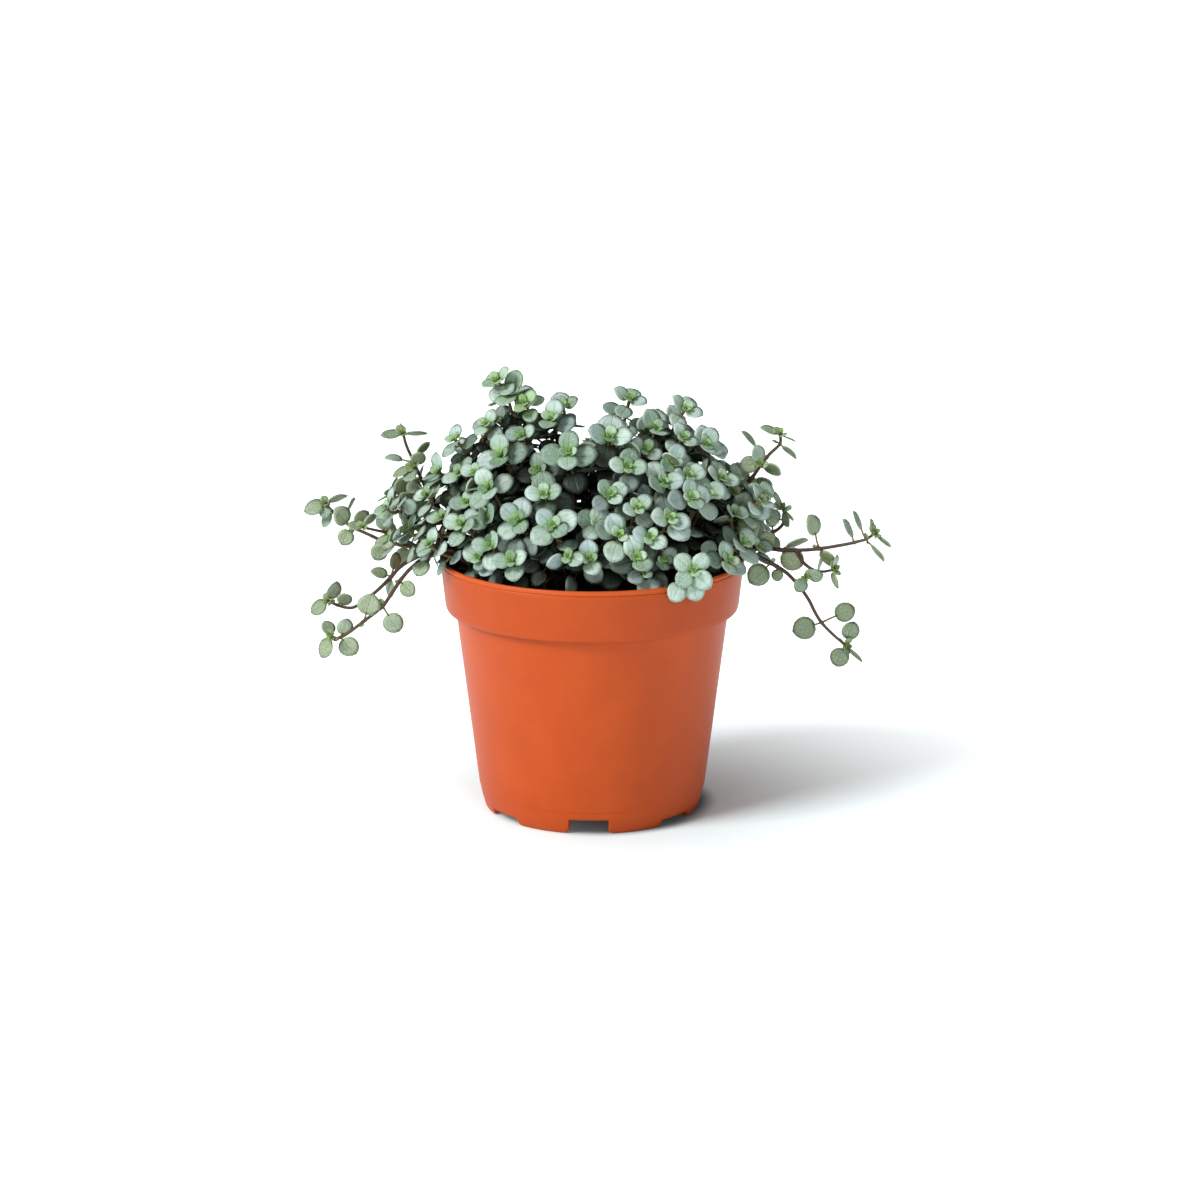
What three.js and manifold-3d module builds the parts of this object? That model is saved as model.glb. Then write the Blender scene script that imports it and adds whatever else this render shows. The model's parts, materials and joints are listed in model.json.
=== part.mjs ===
// A small pilea in its round nursery pot: a thin moulded pot, the soil that fills it, and leafy stems
// that stand in the soil and spill over the rim. Millimetres, +Z up, origin on the floor at the pot's axis,
// and the side seen first is -Y.
import * as THREE from "three";
import { mergeVertices } from "three/addons/utils/BufferGeometryUtils.js";
import Module from "manifold-3d";

const wasm = await Module();
wasm.setup();

// Pot
const RIM_RADIUS = 52.5;
const POT_HEIGHT = 88.8;
const COLLAR_HEIGHT = 18.2;
const COLLAR_FOOT_RADIUS = 50.6;
const LEDGE_THICKNESS = 1.4;
const NECK_RADIUS = 47.1;
const BAND_RADIUS = 39.35;
const BAND_HEIGHT = 8.2;
const FOOT_RADIUS = 37.2;
const WALL = 1.3;
const FLOOR_UNDERSIDE = 5.2;
const FLOOR_THICKNESS = 1.6;
const NOTCHES = 7;
const NOTCH_WIDTH = 13.4;
const NOTCH_HEIGHTS = [5.3, 2.6, 5.3, 5.3, 5.3, 5.3, 2.6];
const NOTCH_TURN = -91.8;
const NOTCH_DEPTH = 12;
const DRAIN_RADIUS = 3.2;
const DRAIN_CIRCLE = 24;
const DRAIN_SIDES = 6;
const AROUND = 30;

// Soil
const SOIL_LEVEL = 80;
const SOIL_MOUND = 1.6;
const ROOT_DEPTH = 8;
const GAP = 0.3;

// Stems and leaves
const STEM_RADIUS = 0.7;
const STEM_TIP_RADIUS = 0.5;
const SMOOTHING = 0.09;
const STEM_SIDES = 3;
const BLADE_HALF_THICKNESS = 0.34;
const BLADE_CUP = 0.4;
const BLADE_STRETCH = 1.04;
const PETIOLE_HALF_WIDTH = 0.55;
const PETIOLE_SINK = 0.12;
const LONG_PETIOLE = 2.1;
const LONG_PETIOLE_TAPER = 0.75;
const ROOT_PULL = 0.62;
const ROOT_LIMIT = 43;
const SIDE_SHOOT_AT = 1.15;
const BEND_AT = 0.42;
const BEND_RISE = 0.1;
const NECK_SHARE = 0.24;
const FACING_OUT = 0.017;
const FACING_NEAR = 0.014;
const FACING_FAR = 0.034;
const FACING_FRONT = 0.85;
const FACING_SIDE = 0.025;
const FACING_SIDE_FROM = 34;
const NODE_STEP = 0.15;

// Stems that arch or trail out of the crown, placed by hand. Each stem is a list of shoots. A shoot has its
// path, whose first entry may be one number, the place along the first shoot's path where it branches off,
// and its leaves: place along the path, angle seen from the front (0 right, 90 up), blade length, petiole
// length, turn of the blade about its own length (0 faces the front, 90 edge-on) and lean away from the
// front.
const ARCHING = [
  // lower left trailer
  [[
    [[-38, -15], [-46.5, -14, 94.5], [-52.5, -12, 92.5], [-60, -11, 88.5], [-64.5, -11, 84], [-69, -11, 77],
      [-72, -11, 72.5], [-78, -10, 68], [-83.5, -10, 63.5], [-87, -10, 61.5], [-89.5, -10, 62]],
    [[2.6, 235, 6.6, 1, 35, -20], [4.4, -42, 5.9, 0.9, 10, -15], [6, -58, 7.4, 3.2, 0, 0],
      [7.2, 72, 7.8, 2.6, 0, -8], [9, -48, 7.2, 0.8, 0, 0], [9, 66, 6, 1.1, 15, 0],
      [10, 240, 7.2, 0.8, 50, 0], [10, 118, 5.2, 1.2, 40, 25]],
  ]],
  // upper left trailer
  [[
    [[-40, -3], [-48.5, -4, 94], [-55.5, -3, 90.6], [-61, -2, 88], [-66, -1, 85], [-69.5, 0, 80.5],
      [-75.5, 1, 74.5], [-82, 2, 69.4], [-85, 2, 69.2], [-89, 2, 70.5], [-91.5, 2, 72]],
    [[5, -98, 7, 1, 60, 10], [5, 165, 6, 1.4, 65, 0], [5, 78, 6.2, 2.4, 50, 15], [9, 38, 5.4, 0.9, 20, -10],
      [10, 66, 6.6, 0.9, 45, 0], [10, 214, 6.6, 0.9, 50, 0]],
  ]],
  // far left arch with a side branch
  [[
    [[-41, 6], [-49, 5, 92], [-56, 6, 90], [-68.5, 8, 90.5], [-72, 9, 91], [-79, 11, 94], [-83.5, 12, 95.5],
      [-87, 13, 98.5], [-90.5, 14, 101], [-92.5, 14, 104]],
    [[2.8, -110, 5.8, 1, 10, -10], [4, -122, 6, 1.2, 8, -10], [4, 62, 6.2, 1.4, 40, 30],
      [6.4, 124, 7, 1.1, 35, -15], [6.2, -118, 5.8, 1.3, 8, -10], [6.2, 38, 6.4, 1.5, 30, 20],
      [7, 60, 6, 3.6, 80, 40], [8, 234, 5.6, 0.9, 55, 0], [9, 197, 7.3, 0.9, 55, 0],
      [9, 26, 7, 0.9, 60, 0], [9, -96, 4.8, 0.8, 20, -35]],
  ], [
    [2.4, [-68.5, 3, 95.5], [-74, 1, 97], [-79, 0, 98.5]],
    [[3, 50, 5.6, 1, 55, 0], [3, 170, 5, 0.8, 60, 0], [1.7, 88, 6.4, 1, 10, -10],
      [1.7, -70, 5.4, 1, 20, -20]],
  ]],
  // upper left arch with a side rosette
  [[
    [[-36, 10], [-46, 9, 96], [-51.5, 8, 101], [-54, 8, 105.5], [-56.5, 8, 108.5], [-59, 8, 114],
      [-62, 8, 121], [-64, 8, 125.5], [-65, 8, 130]],
    [[3, 186, 6.6, 3.6, 25, -10], [3, 10, 6.2, 1.2, 55, 20], [5, 222, 5.6, 1.2, 30, -25],
      [5, 28, 6.6, 1.4, 60, 15], [6, 170, 6.3, 3.7, 78, 0], [6, 52, 5.8, 3, 55, 0],
      [8, 184, 6.8, 0.9, 72, 0], [8, 2, 7.6, 0.9, 66, 0], [8, 100, 5, 0.8, 70, 70]],
  ], [
    [5.2, [-60.5, 4, 117.5], [-61.5, 2, 119.5]],
    [[2, 58, 5.4, 1, 20, -15], [2, 206, 6.6, 1.1, 72, 0], [2, 250, 5.8, 1, 40, -50]],
  ]],
  // long right arch with a side branch
  [[
    [[40, -2], [49.5, -5, 92.5], [58.5, -8, 93], [64.5, -10, 92.8], [72.5, -12, 93.2], [77.5, -13, 94],
      [82, -14, 95], [87.5, -16, 96.5], [90.5, -17, 97.6], [93, -18, 98.5], [95.5, -19, 101]],
    [[3, -34, 8.3, 1.4, 0, -12], [3, 14, 8.4, 2.4, 60, 20], [2.4, 96, 5.6, 1.1, 5, -12],
      [5.1, 106, 7.4, 4.9, 45, 0], [5.1, -52, 7.4, 1, 50, 0], [7.6, 116, 7.2, 1.8, 75, 0],
      [9, 115, 7, 3.7, 75, 0], [9, -50, 7.4, 2.3, 72, 0], [10, -40, 6.6, 0.9, 72, 0],
      [9.9, 100, 4.6, 0.8, 70, 0]],
  ], [
    [3.6, [72, -13.5, 88.5], [77, -15, 86], [82.5, -16, 87.5]],
    [[3, -75, 6, 0.9, 70, 0], [3, 72, 4.6, 0.8, 60, 0], [2.1, 84, 4.8, 1.2, 70, -30]],
  ]],
  // lower right trailer with a small side rosette
  [[
    [[38, -19], [48, -17.5, 94], [56, -17, 92.6], [61.5, -17, 89.4], [65.5, -17, 87], [68.5, -17, 84],
      [73.5, -16, 77.5], [76, -16, 72], [78.5, -15, 68], [82.5, -15, 64], [87, -14, 60]],
    [[3, 222, 7.9, 1.9, 0, -10], [3.4, -84, 4.2, 1, 10, -10], [8, 198, 8, 2.2, 0, 0], [8, 25, 7.3, 5.1, 3, 0],
      [10, 68, 6.5, 2, 12, 0], [10, 250, 6.8, 1.5, 10, 0], [10, -45, 7.4, 1.2, 70, 0]],
  ], [
    [5, [71.5, -19.5, 85], [72.5, -22, 86.2]],
    [[2, 232, 5, 0.8, 5, -15], [2, 15, 5, 0.8, 10, -15]],
  ]],
  // upper right arch with a side rosette
  [[
    [[35, 4], [45, 3, 100], [51.5, 4, 109.5], [55, 6, 114.5], [57.5, 7, 118], [60.5, 8, 122], [63, 9, 124],
      [65, 9, 126], [64.5, 9, 129.5]],
    [[2, -8, 6.4, 1.4, 40, 0], [3.2, -24, 6.6, 1.2, 50, 10], [3.2, 172, 6, 1.2, 40, 20],
      [5, 133, 7.2, 5.4, 80, 0], [7, -40, 6.6, 1.2, 65, 0], [8, 158, 6.4, 0.9, 74, 0],
      [8, -22, 5.2, 0.8, 75, 0]],
  ], [
    [4, [57.5, 3, 119], [57.5, 0.5, 120.5]],
    [[2, 104, 6, 0.9, 40, 0], [2, 178, 6.2, 1, 20, -10], [2, -22, 6.8, 1, 45, -10]],
  ]],
  // front right stem that leans out over the rim
  [[
    [[24, -33], [28.5, -39, 91.5], [31.5, -44, 93.6], [33.5, -47, 95]],
    [[3, 140, 6.6, 1, 10, -5], [3, 48, 6.4, 1, 10, -5], [3, 225, 6.2, 1, 5, -10], [3, -45, 7, 1.2, 10, -10],
      [2.4, -73, 6.6, 3.6, 5, -12], [2, -118, 6.8, 4.4, 0, -32]],
  ]],
  // short upright shoot at the right, behind the long arch
  [[
    [[41, 9], [51, 7.5, 93], [60, 6, 94], [65.5, 5.5, 97], [66.5, 5, 101], [65.5, 4, 104.5]],
    [[5, 122, 6.2, 0.9, 76, 0], [5, -52, 5.2, 0.9, 72, 20], [5, -70, 5.8, 1, 60, -35],
      [3.8, 160, 6, 1.4, 10, -15],
      [2.6, 100, 5.4, 1.6, 40, 15], [2.6, -80, 5.4, 1.2, 40, 0]],
  ]],
];

// The crown: each clump of stems is a list of tips, x, y, z and the blade length of its rosette. The first
// tip is the main stem's, and the others are side shoots of it.
const CROWN = [
  [[-63, -10, 100, 7.2], [-57, -8, 105, 6]],
  [[-55, -23, 98, 6.4]],
  [[-70, 0, 107, 6.6], [-58, -1, 103, 5.6]],
  [[-28, 2, 145.5, 8.4], [-23, -4, 143, 5.4], [-32.5, 3, 149.5, 6.2]],
  [[-14, -6, 138, 7], [-10, 1, 141, 6.2]],
  [[-47, -3, 130, 6.6], [-45, -10, 120, 7]],
  [[-31, -18, 128, 8], [-24, -12, 133, 6]],
  [[-8, -24, 130, 8.2]],
  [[-18, -20, 123, 6.4], [-16, -34, 118, 7]],
  [[-35, -28, 119, 7.4]],
  [[-25, -37, 110, 7], [-27, -42, 97, 6.6]],
  [[-13, -42, 109, 7.2], [-8, -44, 99, 6.4]],
  [[-44, -31, 107, 6.6], [-42, -20, 112, 6.6]],
  [[-18, -36, 98, 6.2], [-34, -36, 101, 7]],
  [[-38, -33, 96, 6.6]],
  [[13, 4, 143, 6.8]],
  [[32, 0, 140, 6.8], [31, -9, 132, 5.6]],
  [[22, -5, 134, 8]],
  [[6, -18, 134, 8.6]],
  [[12, -28, 126, 6.8], [6, -35, 118, 6]],
  [[44, -13, 119, 6.8], [48, -7, 113, 6.4]],
  [[24, -29, 121, 7.4], [33, -35, 117, 6.6]],
  [[39, -25, 116, 7.6]],
  [[15, -37, 114, 6.2], [15, -45, 99, 8]],
  [[26, -39, 111, 7.6], [24, -41, 97, 5.6]],
  [[9, -43, 106, 8]],
  [[2, -37, 108, 7], [-1, -43, 98, 7]],
  [[51, -24, 99, 7], [46, -33, 95, 6.6]],
  [[59, -3, 111, 6.6], [49, -3, 117, 6]],
];

// The back of the crown, away from the side seen first, is filled by a rule: tips on a dome, a golden turn
// apart, each with a side shoot a little lower and further round.
const BACK_STEMS = 11;
const BACK_FROM = 12;
const BACK_TO = 176;
const BACK_NEAR = 18;
const BACK_FAR = 48.5;
const DOME_TOP = 131;
const DOME_FALL = 0.009;
const MAIN_BLADE = 6.7;
const GOLDEN_SHARE = 0.618034;
const SIDE_SWING = [10, 18];
const SIDE_REACH = 0.8;
const SIDE_DROP = [7, 11];
const HEIGHT_SPREAD = 6;
const BACK_BLADE = [6.2, 7.8];

// Rosettes, from the tip down: distance below the tip, rise of the blades, length against the rosette's and
// petiole
const PAIRS = [
  { below: 1, rise: 26, size: 0.9, petiole: 0.7 },
  { below: 3.4, rise: 10, size: 1.04, petiole: 1.3 },
  { below: 9.5, rise: 0, size: 1, petiole: 2.3 },
];
const TURNS = [0, 22, -22, 44, -44, 66, -66];
const RISES = [0, 22, -18];
const SHRINKS = [1, 0.84];
const CLEAR_OF_OTHERS = 1.02;
const CLEAR_OF_OWN = 0.74;
const CLEAR_OF_STEMS = 1.25;
const PETIOLE_CLEAR_OF_STEMS = 1.4;
const CLEAR_OF_POT = 0.9;

// Drawn variation of a rosette, in degrees and as a share of its blades' length
const AZIMUTH_SPREAD = 24;
const RISE_SPREAD = 14;
const LENGTH_SPREAD = 0.12;

const colours = {
  pot: { color: 0xc8582c, roughness: 0.45, metalness: 0 },
  soil: { color: 0x1e1915, roughness: 0.95, metalness: 0 },
  foliage: { color: 0x9db8a2, roughness: 0.6, metalness: 0 },
};
const root = new THREE.Group();

function addMesh(name, geometry, look) {
  const mesh = new THREE.Mesh(geometry, new THREE.MeshStandardMaterial(look));
  mesh.name = name;
  root.add(mesh);
  return mesh;
}

// ---- closed solids to and from plain geometry ----

function solidOf(geometry) {
  const bare = new THREE.BufferGeometry();
  bare.setAttribute("position", geometry.getAttribute("position"));
  bare.setIndex(geometry.getIndex());
  const merged = mergeVertices(bare, 1e-4);
  return new wasm.Manifold(
    new wasm.Mesh({
      numProp: 3,
      vertProperties: merged.getAttribute("position").array,
      triVerts: new Uint32Array(merged.getIndex().array),
    }),
  );
}

function geometryOf(solid) {
  const { vertProperties, triVerts } = solid.getMesh();
  const geometry = new THREE.BufferGeometry();
  geometry.setAttribute("position", new THREE.BufferAttribute(vertProperties, 3));
  geometry.setIndex(new THREE.BufferAttribute(triVerts, 1));
  return geometry;
}

function closedGeometry(points, triangles) {
  const geometry = new THREE.BufferGeometry();
  geometry.setAttribute("position", new THREE.Float32BufferAttribute(points.flatMap((p) => p.toArray()), 3));
  geometry.setIndex(triangles.flat());
  return geometry;
}

function turned(profile) {
  const lathe = new THREE.LatheGeometry(profile.map(([r, z]) => new THREE.Vector2(r, z)), AROUND);
  return lathe.rotateX(Math.PI / 2);
}

const degrees = THREE.MathUtils.degToRad;
const vector = ([x, y, z]) => new THREE.Vector3(x, y, z);
const between = ([low, high], share) => low + (high - low) * share;

// Repeatable random draws from 0 to 1
function drawsFrom(seed) {
  let state = Math.imul(seed, 2654435761) >>> 0;
  return () => {
    state = (Math.imul(1664525, state) + 1013904223) >>> 0;
    return state / 4294967296;
  };
}

// ---- pot ----

const collarFoot = POT_HEIGHT - COLLAR_HEIGHT;
const floorTop = FLOOR_UNDERSIDE + FLOOR_THICKNESS;

function buildPot() {
  let pot = solidOf(
    turned([
      [0, FLOOR_UNDERSIDE],
      [FOOT_RADIUS - 2.2, FLOOR_UNDERSIDE],
      [FOOT_RADIUS - 1.9, 0],
      [FOOT_RADIUS, 0],
      [BAND_RADIUS - 0.8, BAND_HEIGHT - 3.6],
      [BAND_RADIUS, BAND_HEIGHT],
      [NECK_RADIUS, collarFoot],
      [COLLAR_FOOT_RADIUS - 0.6, collarFoot + 0.1],
      [COLLAR_FOOT_RADIUS, collarFoot + 1.4],
      [RIM_RADIUS, POT_HEIGHT - 1.5],
      [RIM_RADIUS - 0.7, POT_HEIGHT],
      [RIM_RADIUS - WALL, POT_HEIGHT - 0.6],
      [COLLAR_FOOT_RADIUS - WALL, collarFoot + LEDGE_THICKNESS + 0.4],
      [NECK_RADIUS - WALL, collarFoot + LEDGE_THICKNESS],
      [BAND_RADIUS - WALL, BAND_HEIGHT + 0.8],
      [BAND_RADIUS - WALL - 0.8, floorTop],
      [0, floorTop],
    ]),
  );
  for (let i = 0; i < NOTCHES; i++) {
    const turn = degrees(NOTCH_TURN + (360 / NOTCHES) * i);
    const notch = new THREE.BoxGeometry(NOTCH_DEPTH, NOTCH_WIDTH, 2 * NOTCH_HEIGHTS[i]);
    notch.translate(FOOT_RADIUS, 0, 0).rotateZ(turn);
    pot = pot.subtract(solidOf(notch));
    const drain = new THREE.CylinderGeometry(DRAIN_RADIUS, DRAIN_RADIUS, 4 * FLOOR_THICKNESS, DRAIN_SIDES);
    drain.rotateX(Math.PI / 2).translate(DRAIN_CIRCLE, 0, floorTop).rotateZ(turn);
    pot = pot.subtract(solidOf(drain));
  }
  return geometryOf(pot);
}

// The outer radius of the pot at a height, and whether a point of a leaf is in or against the pot or its soil
const potRadiusAt = (z) =>
  z > collarFoot
    ? THREE.MathUtils.mapLinear(z, collarFoot, POT_HEIGHT, COLLAR_FOOT_RADIUS, RIM_RADIUS)
    : THREE.MathUtils.mapLinear(z, 0, collarFoot, FOOT_RADIUS, NECK_RADIUS);

function hitsPot(point) {
  const reach = Math.hypot(point.x, point.y);
  const wall = potRadiusAt(point.z);
  if (point.z < POT_HEIGHT + 0.8 && reach > wall - WALL - CLEAR_OF_POT && reach < wall + CLEAR_OF_POT) {
    return true;
  }
  return point.z < SOIL_LEVEL + SOIL_MOUND + CLEAR_OF_POT && reach < wall;
}

// ---- stems: a thin tapering section swept through hand-set points ----

// A place on a stem's path, where each whole number is one of its points, and the direction there
function onStem(points, t) {
  const i = Math.min(Math.floor(t), points.length - 2);
  return points[i].clone().lerp(points[i + 1], t - i);
}

function headingAt(points, t) {
  const i = Math.min(Math.floor(t), points.length - 2);
  return points[i + 1].clone().sub(points[i]).normalize();
}

function sweep(centres, radii) {
  const rings = [];
  let side = new THREE.Vector3(1, 0, 0);
  centres.forEach((centre, i) => {
    const after = centres[Math.min(i + 1, centres.length - 1)];
    const before = centres[Math.max(i - 1, 0)];
    const heading = after.clone().sub(before).normalize();
    side = side.clone().addScaledVector(heading, -side.dot(heading)).normalize();
    const across = new THREE.Vector3().crossVectors(heading, side);
    for (let k = 0; k < STEM_SIDES; k++) {
      const turn = (2 * Math.PI * (k + 0.5)) / STEM_SIDES;
      rings.push(
        centre
          .clone()
          .addScaledVector(side, radii[i] * Math.cos(turn))
          .addScaledVector(across, radii[i] * Math.sin(turn)),
      );
    }
  });
  const triangles = [];
  for (let i = 0; i + 1 < centres.length; i++) {
    for (let k = 0; k < STEM_SIDES; k++) {
      const a = i * STEM_SIDES + k;
      const b = i * STEM_SIDES + ((k + 1) % STEM_SIDES);
      triangles.push([a, b, b + STEM_SIDES], [a, b + STEM_SIDES, a + STEM_SIDES]);
    }
  }
  const end = (centres.length - 1) * STEM_SIDES;
  for (let k = 1; k + 1 < STEM_SIDES; k++) {
    triangles.push([0, k + 1, k], [end, end + k, end + k + 1]);
  }
  return closedGeometry(rings, triangles);
}

// ---- leaves: a round faceted blade and its petiole, grown out of the stem ----

function leafGeometry(leaf) {
  const { attach, outward, face, length, petiole } = leaf;
  const side = new THREE.Vector3().crossVectors(face, outward);
  const half = length / 2;
  const at = (x, y, z) =>
    attach.clone().addScaledVector(outward, x).addScaledVector(side, y).addScaledVector(face, z);
  const rim = (turn, z) => {
    const x = petiole + half + BLADE_STRETCH * half * Math.cos(degrees(turn));
    return at(x, half * Math.sin(degrees(turn)), z);
  };
  const h = BLADE_HALF_THICKNESS;
  const w = PETIOLE_HALF_WIDTH;
  const points = [
    rim(0, h),
    rim(72, h + BLADE_CUP),
    at(petiole, w, h),
    at(petiole, -w, h),
    rim(-72, h + BLADE_CUP),
    rim(36, 0.4 * BLADE_CUP - h),
    rim(112, BLADE_CUP - h),
    at(petiole - 0.3, 0, -h),
    rim(-112, BLADE_CUP - h),
    rim(-36, 0.4 * BLADE_CUP - h),
  ];
  const triangles = [
    [0, 1, 2], [0, 2, 3], [0, 3, 4],
    [7, 6, 5], [7, 5, 9], [7, 9, 8],
    [0, 5, 1], [5, 6, 1], [1, 6, 2], [6, 7, 2],
    [7, 8, 3], [3, 8, 4], [8, 9, 4], [4, 9, 0], [9, 5, 0],
  ];
  if (petiole < LONG_PETIOLE) {
    points.push(at(-PETIOLE_SINK, 0, 0));
    triangles.push([2, 7, 10], [7, 3, 10], [3, 2, 10]);
  } else {
    const k = LONG_PETIOLE_TAPER;
    points.push(at(-PETIOLE_SINK, k * w, k * h));
    points.push(at(-PETIOLE_SINK, -k * w, k * h));
    points.push(at(-PETIOLE_SINK, 0, -k * h));
    triangles.push([2, 7, 12], [2, 12, 10], [7, 3, 11], [7, 11, 12], [3, 2, 10], [3, 10, 11], [10, 12, 11]);
  }
  return closedGeometry(points, triangles);
}

function makeLeaf(attach, outward, face, length, petiole) {
  const centre = attach.clone().addScaledVector(outward, petiole + length / 2);
  return { attach, outward, face, length, petiole, centre, radius: length / 2 };
}

// Points of a blade, its middle, a middle ring and its rim, and then of its petiole
const BLADE_POINTS = 19;

function leafPoints(leaf) {
  const side = new THREE.Vector3().crossVectors(leaf.face, leaf.outward);
  const points = [leaf.centre];
  for (const [count, share] of [[6, 0.5], [12, 1]]) {
    for (let k = 0; k < count; k++) {
      const turn = (2 * Math.PI * k) / count;
      points.push(
        leaf.centre
          .clone()
          .addScaledVector(leaf.outward, share * leaf.radius * Math.cos(turn))
          .addScaledVector(side, share * leaf.radius * Math.sin(turn)),
      );
    }
  }
  for (let x = 1; x < leaf.petiole; x += 1) {
    points.push(leaf.attach.clone().addScaledVector(leaf.outward, x));
  }
  return points;
}

function distanceToBlade(point, leaf) {
  const offset = point.clone().sub(leaf.centre);
  const height = offset.dot(leaf.face);
  const reach = offset.addScaledVector(leaf.face, -height).length();
  return reach <= leaf.radius ? Math.abs(height) : Math.hypot(height, reach - leaf.radius);
}

// True where a leaf would touch the pot, another stem or a leaf that is already placed
function blocked(leaf, stemIndex, placed, stemPoints) {
  const points = leafPoints(leaf);
  if (points.some(hitsPot)) {
    return true;
  }
  for (const other of placed) {
    const reach = leaf.radius + other.radius + leaf.petiole + other.petiole;
    if (leaf.centre.distanceTo(other.centre) > reach + 1) {
      continue;
    }
    const clear = other.stem === stemIndex ? CLEAR_OF_OWN : CLEAR_OF_OTHERS;
    if (other.stem === stemIndex) {
      if (points.slice(0, BLADE_POINTS).some((p) => distanceToBlade(p, other) < clear)) return true;
      continue;
    }
    if (points.some((p) => distanceToBlade(p, other) < clear)) return true;
    if (leafPoints(other).some((p) => distanceToBlade(p, leaf) < clear)) return true;
  }
  return stemPoints.some(
    (s) =>
      s.stem !== stemIndex &&
      leaf.centre.distanceTo(s.point) < leaf.length + leaf.petiole &&
      (distanceToBlade(s.point, leaf) < CLEAR_OF_STEMS ||
        points.slice(BLADE_POINTS).some((p) => p.distanceTo(s.point) < PETIOLE_CLEAR_OF_STEMS)),
  );
}

// ---- the plan: every stem's curves, then every leaf ----

// The outward, upward lean of a rosette at a place on the crown, a little towards the front
function crownFacing(tip) {
  const aside = THREE.MathUtils.clamp(Math.abs(tip.x) - FACING_SIDE_FROM, 0, 30);
  const front = FACING_FRONT - FACING_SIDE * aside;
  const forwards = (tip.y < 0 ? FACING_NEAR : FACING_FAR) * tip.y - front;
  return new THREE.Vector3(FACING_OUT * tip.x, forwards, 1).normalize();
}

function crownStem(tips) {
  const [x, y] = tips[0];
  const pull = Math.min(ROOT_PULL, ROOT_LIMIT / Math.hypot(x, y));
  const foot = new THREE.Vector3(pull * x, pull * y, SOIL_LEVEL + 2);
  const shoots = [];
  tips.forEach(([tx, ty, tz, blade], i) => {
    const tip = new THREE.Vector3(tx, ty, tz);
    const facing = crownFacing(tip);
    const start = i === 0 ? foot : onStem(shoots[0].path, SIDE_SHOOT_AT);
    const reach = start.distanceTo(tip);
    const middle = start.clone().lerp(tip, BEND_AT);
    middle.z += BEND_RISE * reach;
    const neck = tip.clone().addScaledVector(facing, -NECK_SHARE * reach);
    const pairs = i === 0 && ty < 10 && blade >= MAIN_BLADE ? 3 : 2;
    shoots.push({ path: [start, middle, neck, tip], blade, pairs });
  });
  return { foot, shoots };
}

function archingStem(entry) {
  const shoots = [];
  for (const [path, leaves] of entry) {
    const branches = typeof path[0] === "number";
    const start = branches ? onStem(shoots[0].path, path[0]) : vector([...path[0], SOIL_LEVEL + 2]);
    shoots.push({ path: [start, ...path.slice(1).map(vector)], leaves });
  }
  return { foot: shoots[0].path[0], shoots };
}

function backTips() {
  const draw = drawsFrom(5);
  return Array.from({ length: BACK_STEMS }, (_, k) => {
    const turn = degrees(BACK_FROM + (BACK_TO - BACK_FROM) * ((k * GOLDEN_SHARE) % 1));
    const reach = BACK_NEAR + (BACK_FAR - BACK_NEAR) * Math.sqrt((k + 0.5) / BACK_STEMS);
    return [
      [0, reach],
      [between(SIDE_SWING, draw()), SIDE_REACH * reach],
    ].map(([swing, far]) => {
      const at = turn + degrees(swing * (k % 2 ? 1 : -1));
      const low = far === reach ? 0 : between(SIDE_DROP, draw());
      const height = DOME_TOP - DOME_FALL * far * far - low + HEIGHT_SPREAD * (draw() - 0.5);
      return [far * Math.cos(at), far * Math.sin(at), height, between(BACK_BLADE, draw())];
    });
  });
}

const stems = [...ARCHING.map(archingStem), ...CROWN.map(crownStem), ...backTips().map(crownStem)];

const stemPoints = stems.flatMap(({ shoots }, stem) =>
  shoots.flatMap(({ path }) => {
    const count = 8 * (path.length - 1);
    return Array.from({ length: count + 1 }, (_, k) => ({ stem, point: onStem(path, k / 8) }));
  }),
);

const placed = [];

function handLeaf(path, [t, angle, length, petiole, turn, lean]) {
  const outward = new THREE.Vector3(
    Math.cos(degrees(angle)) * Math.cos(degrees(lean)),
    Math.sin(degrees(lean)),
    Math.sin(degrees(angle)) * Math.cos(degrees(lean)),
  );
  const face = new THREE.Vector3(0, -1, 0);
  face.addScaledVector(outward, -face.dot(outward)).normalize();
  face.applyAxisAngle(outward, degrees(turn));
  if (face.z < -0.3) face.negate();
  return makeLeaf(onStem(path, t - NODE_STEP), outward, face, length, petiole);
}

// Place on the path a given length below its tip
function placeBelow(path, below) {
  let t = path.length - 1;
  let walked = 0;
  let here = onStem(path, t);
  while (walked < below && t > 0.05) {
    t -= 0.05;
    const next = onStem(path, t);
    walked += here.distanceTo(next);
    here = next;
  }
  return t;
}

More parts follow.
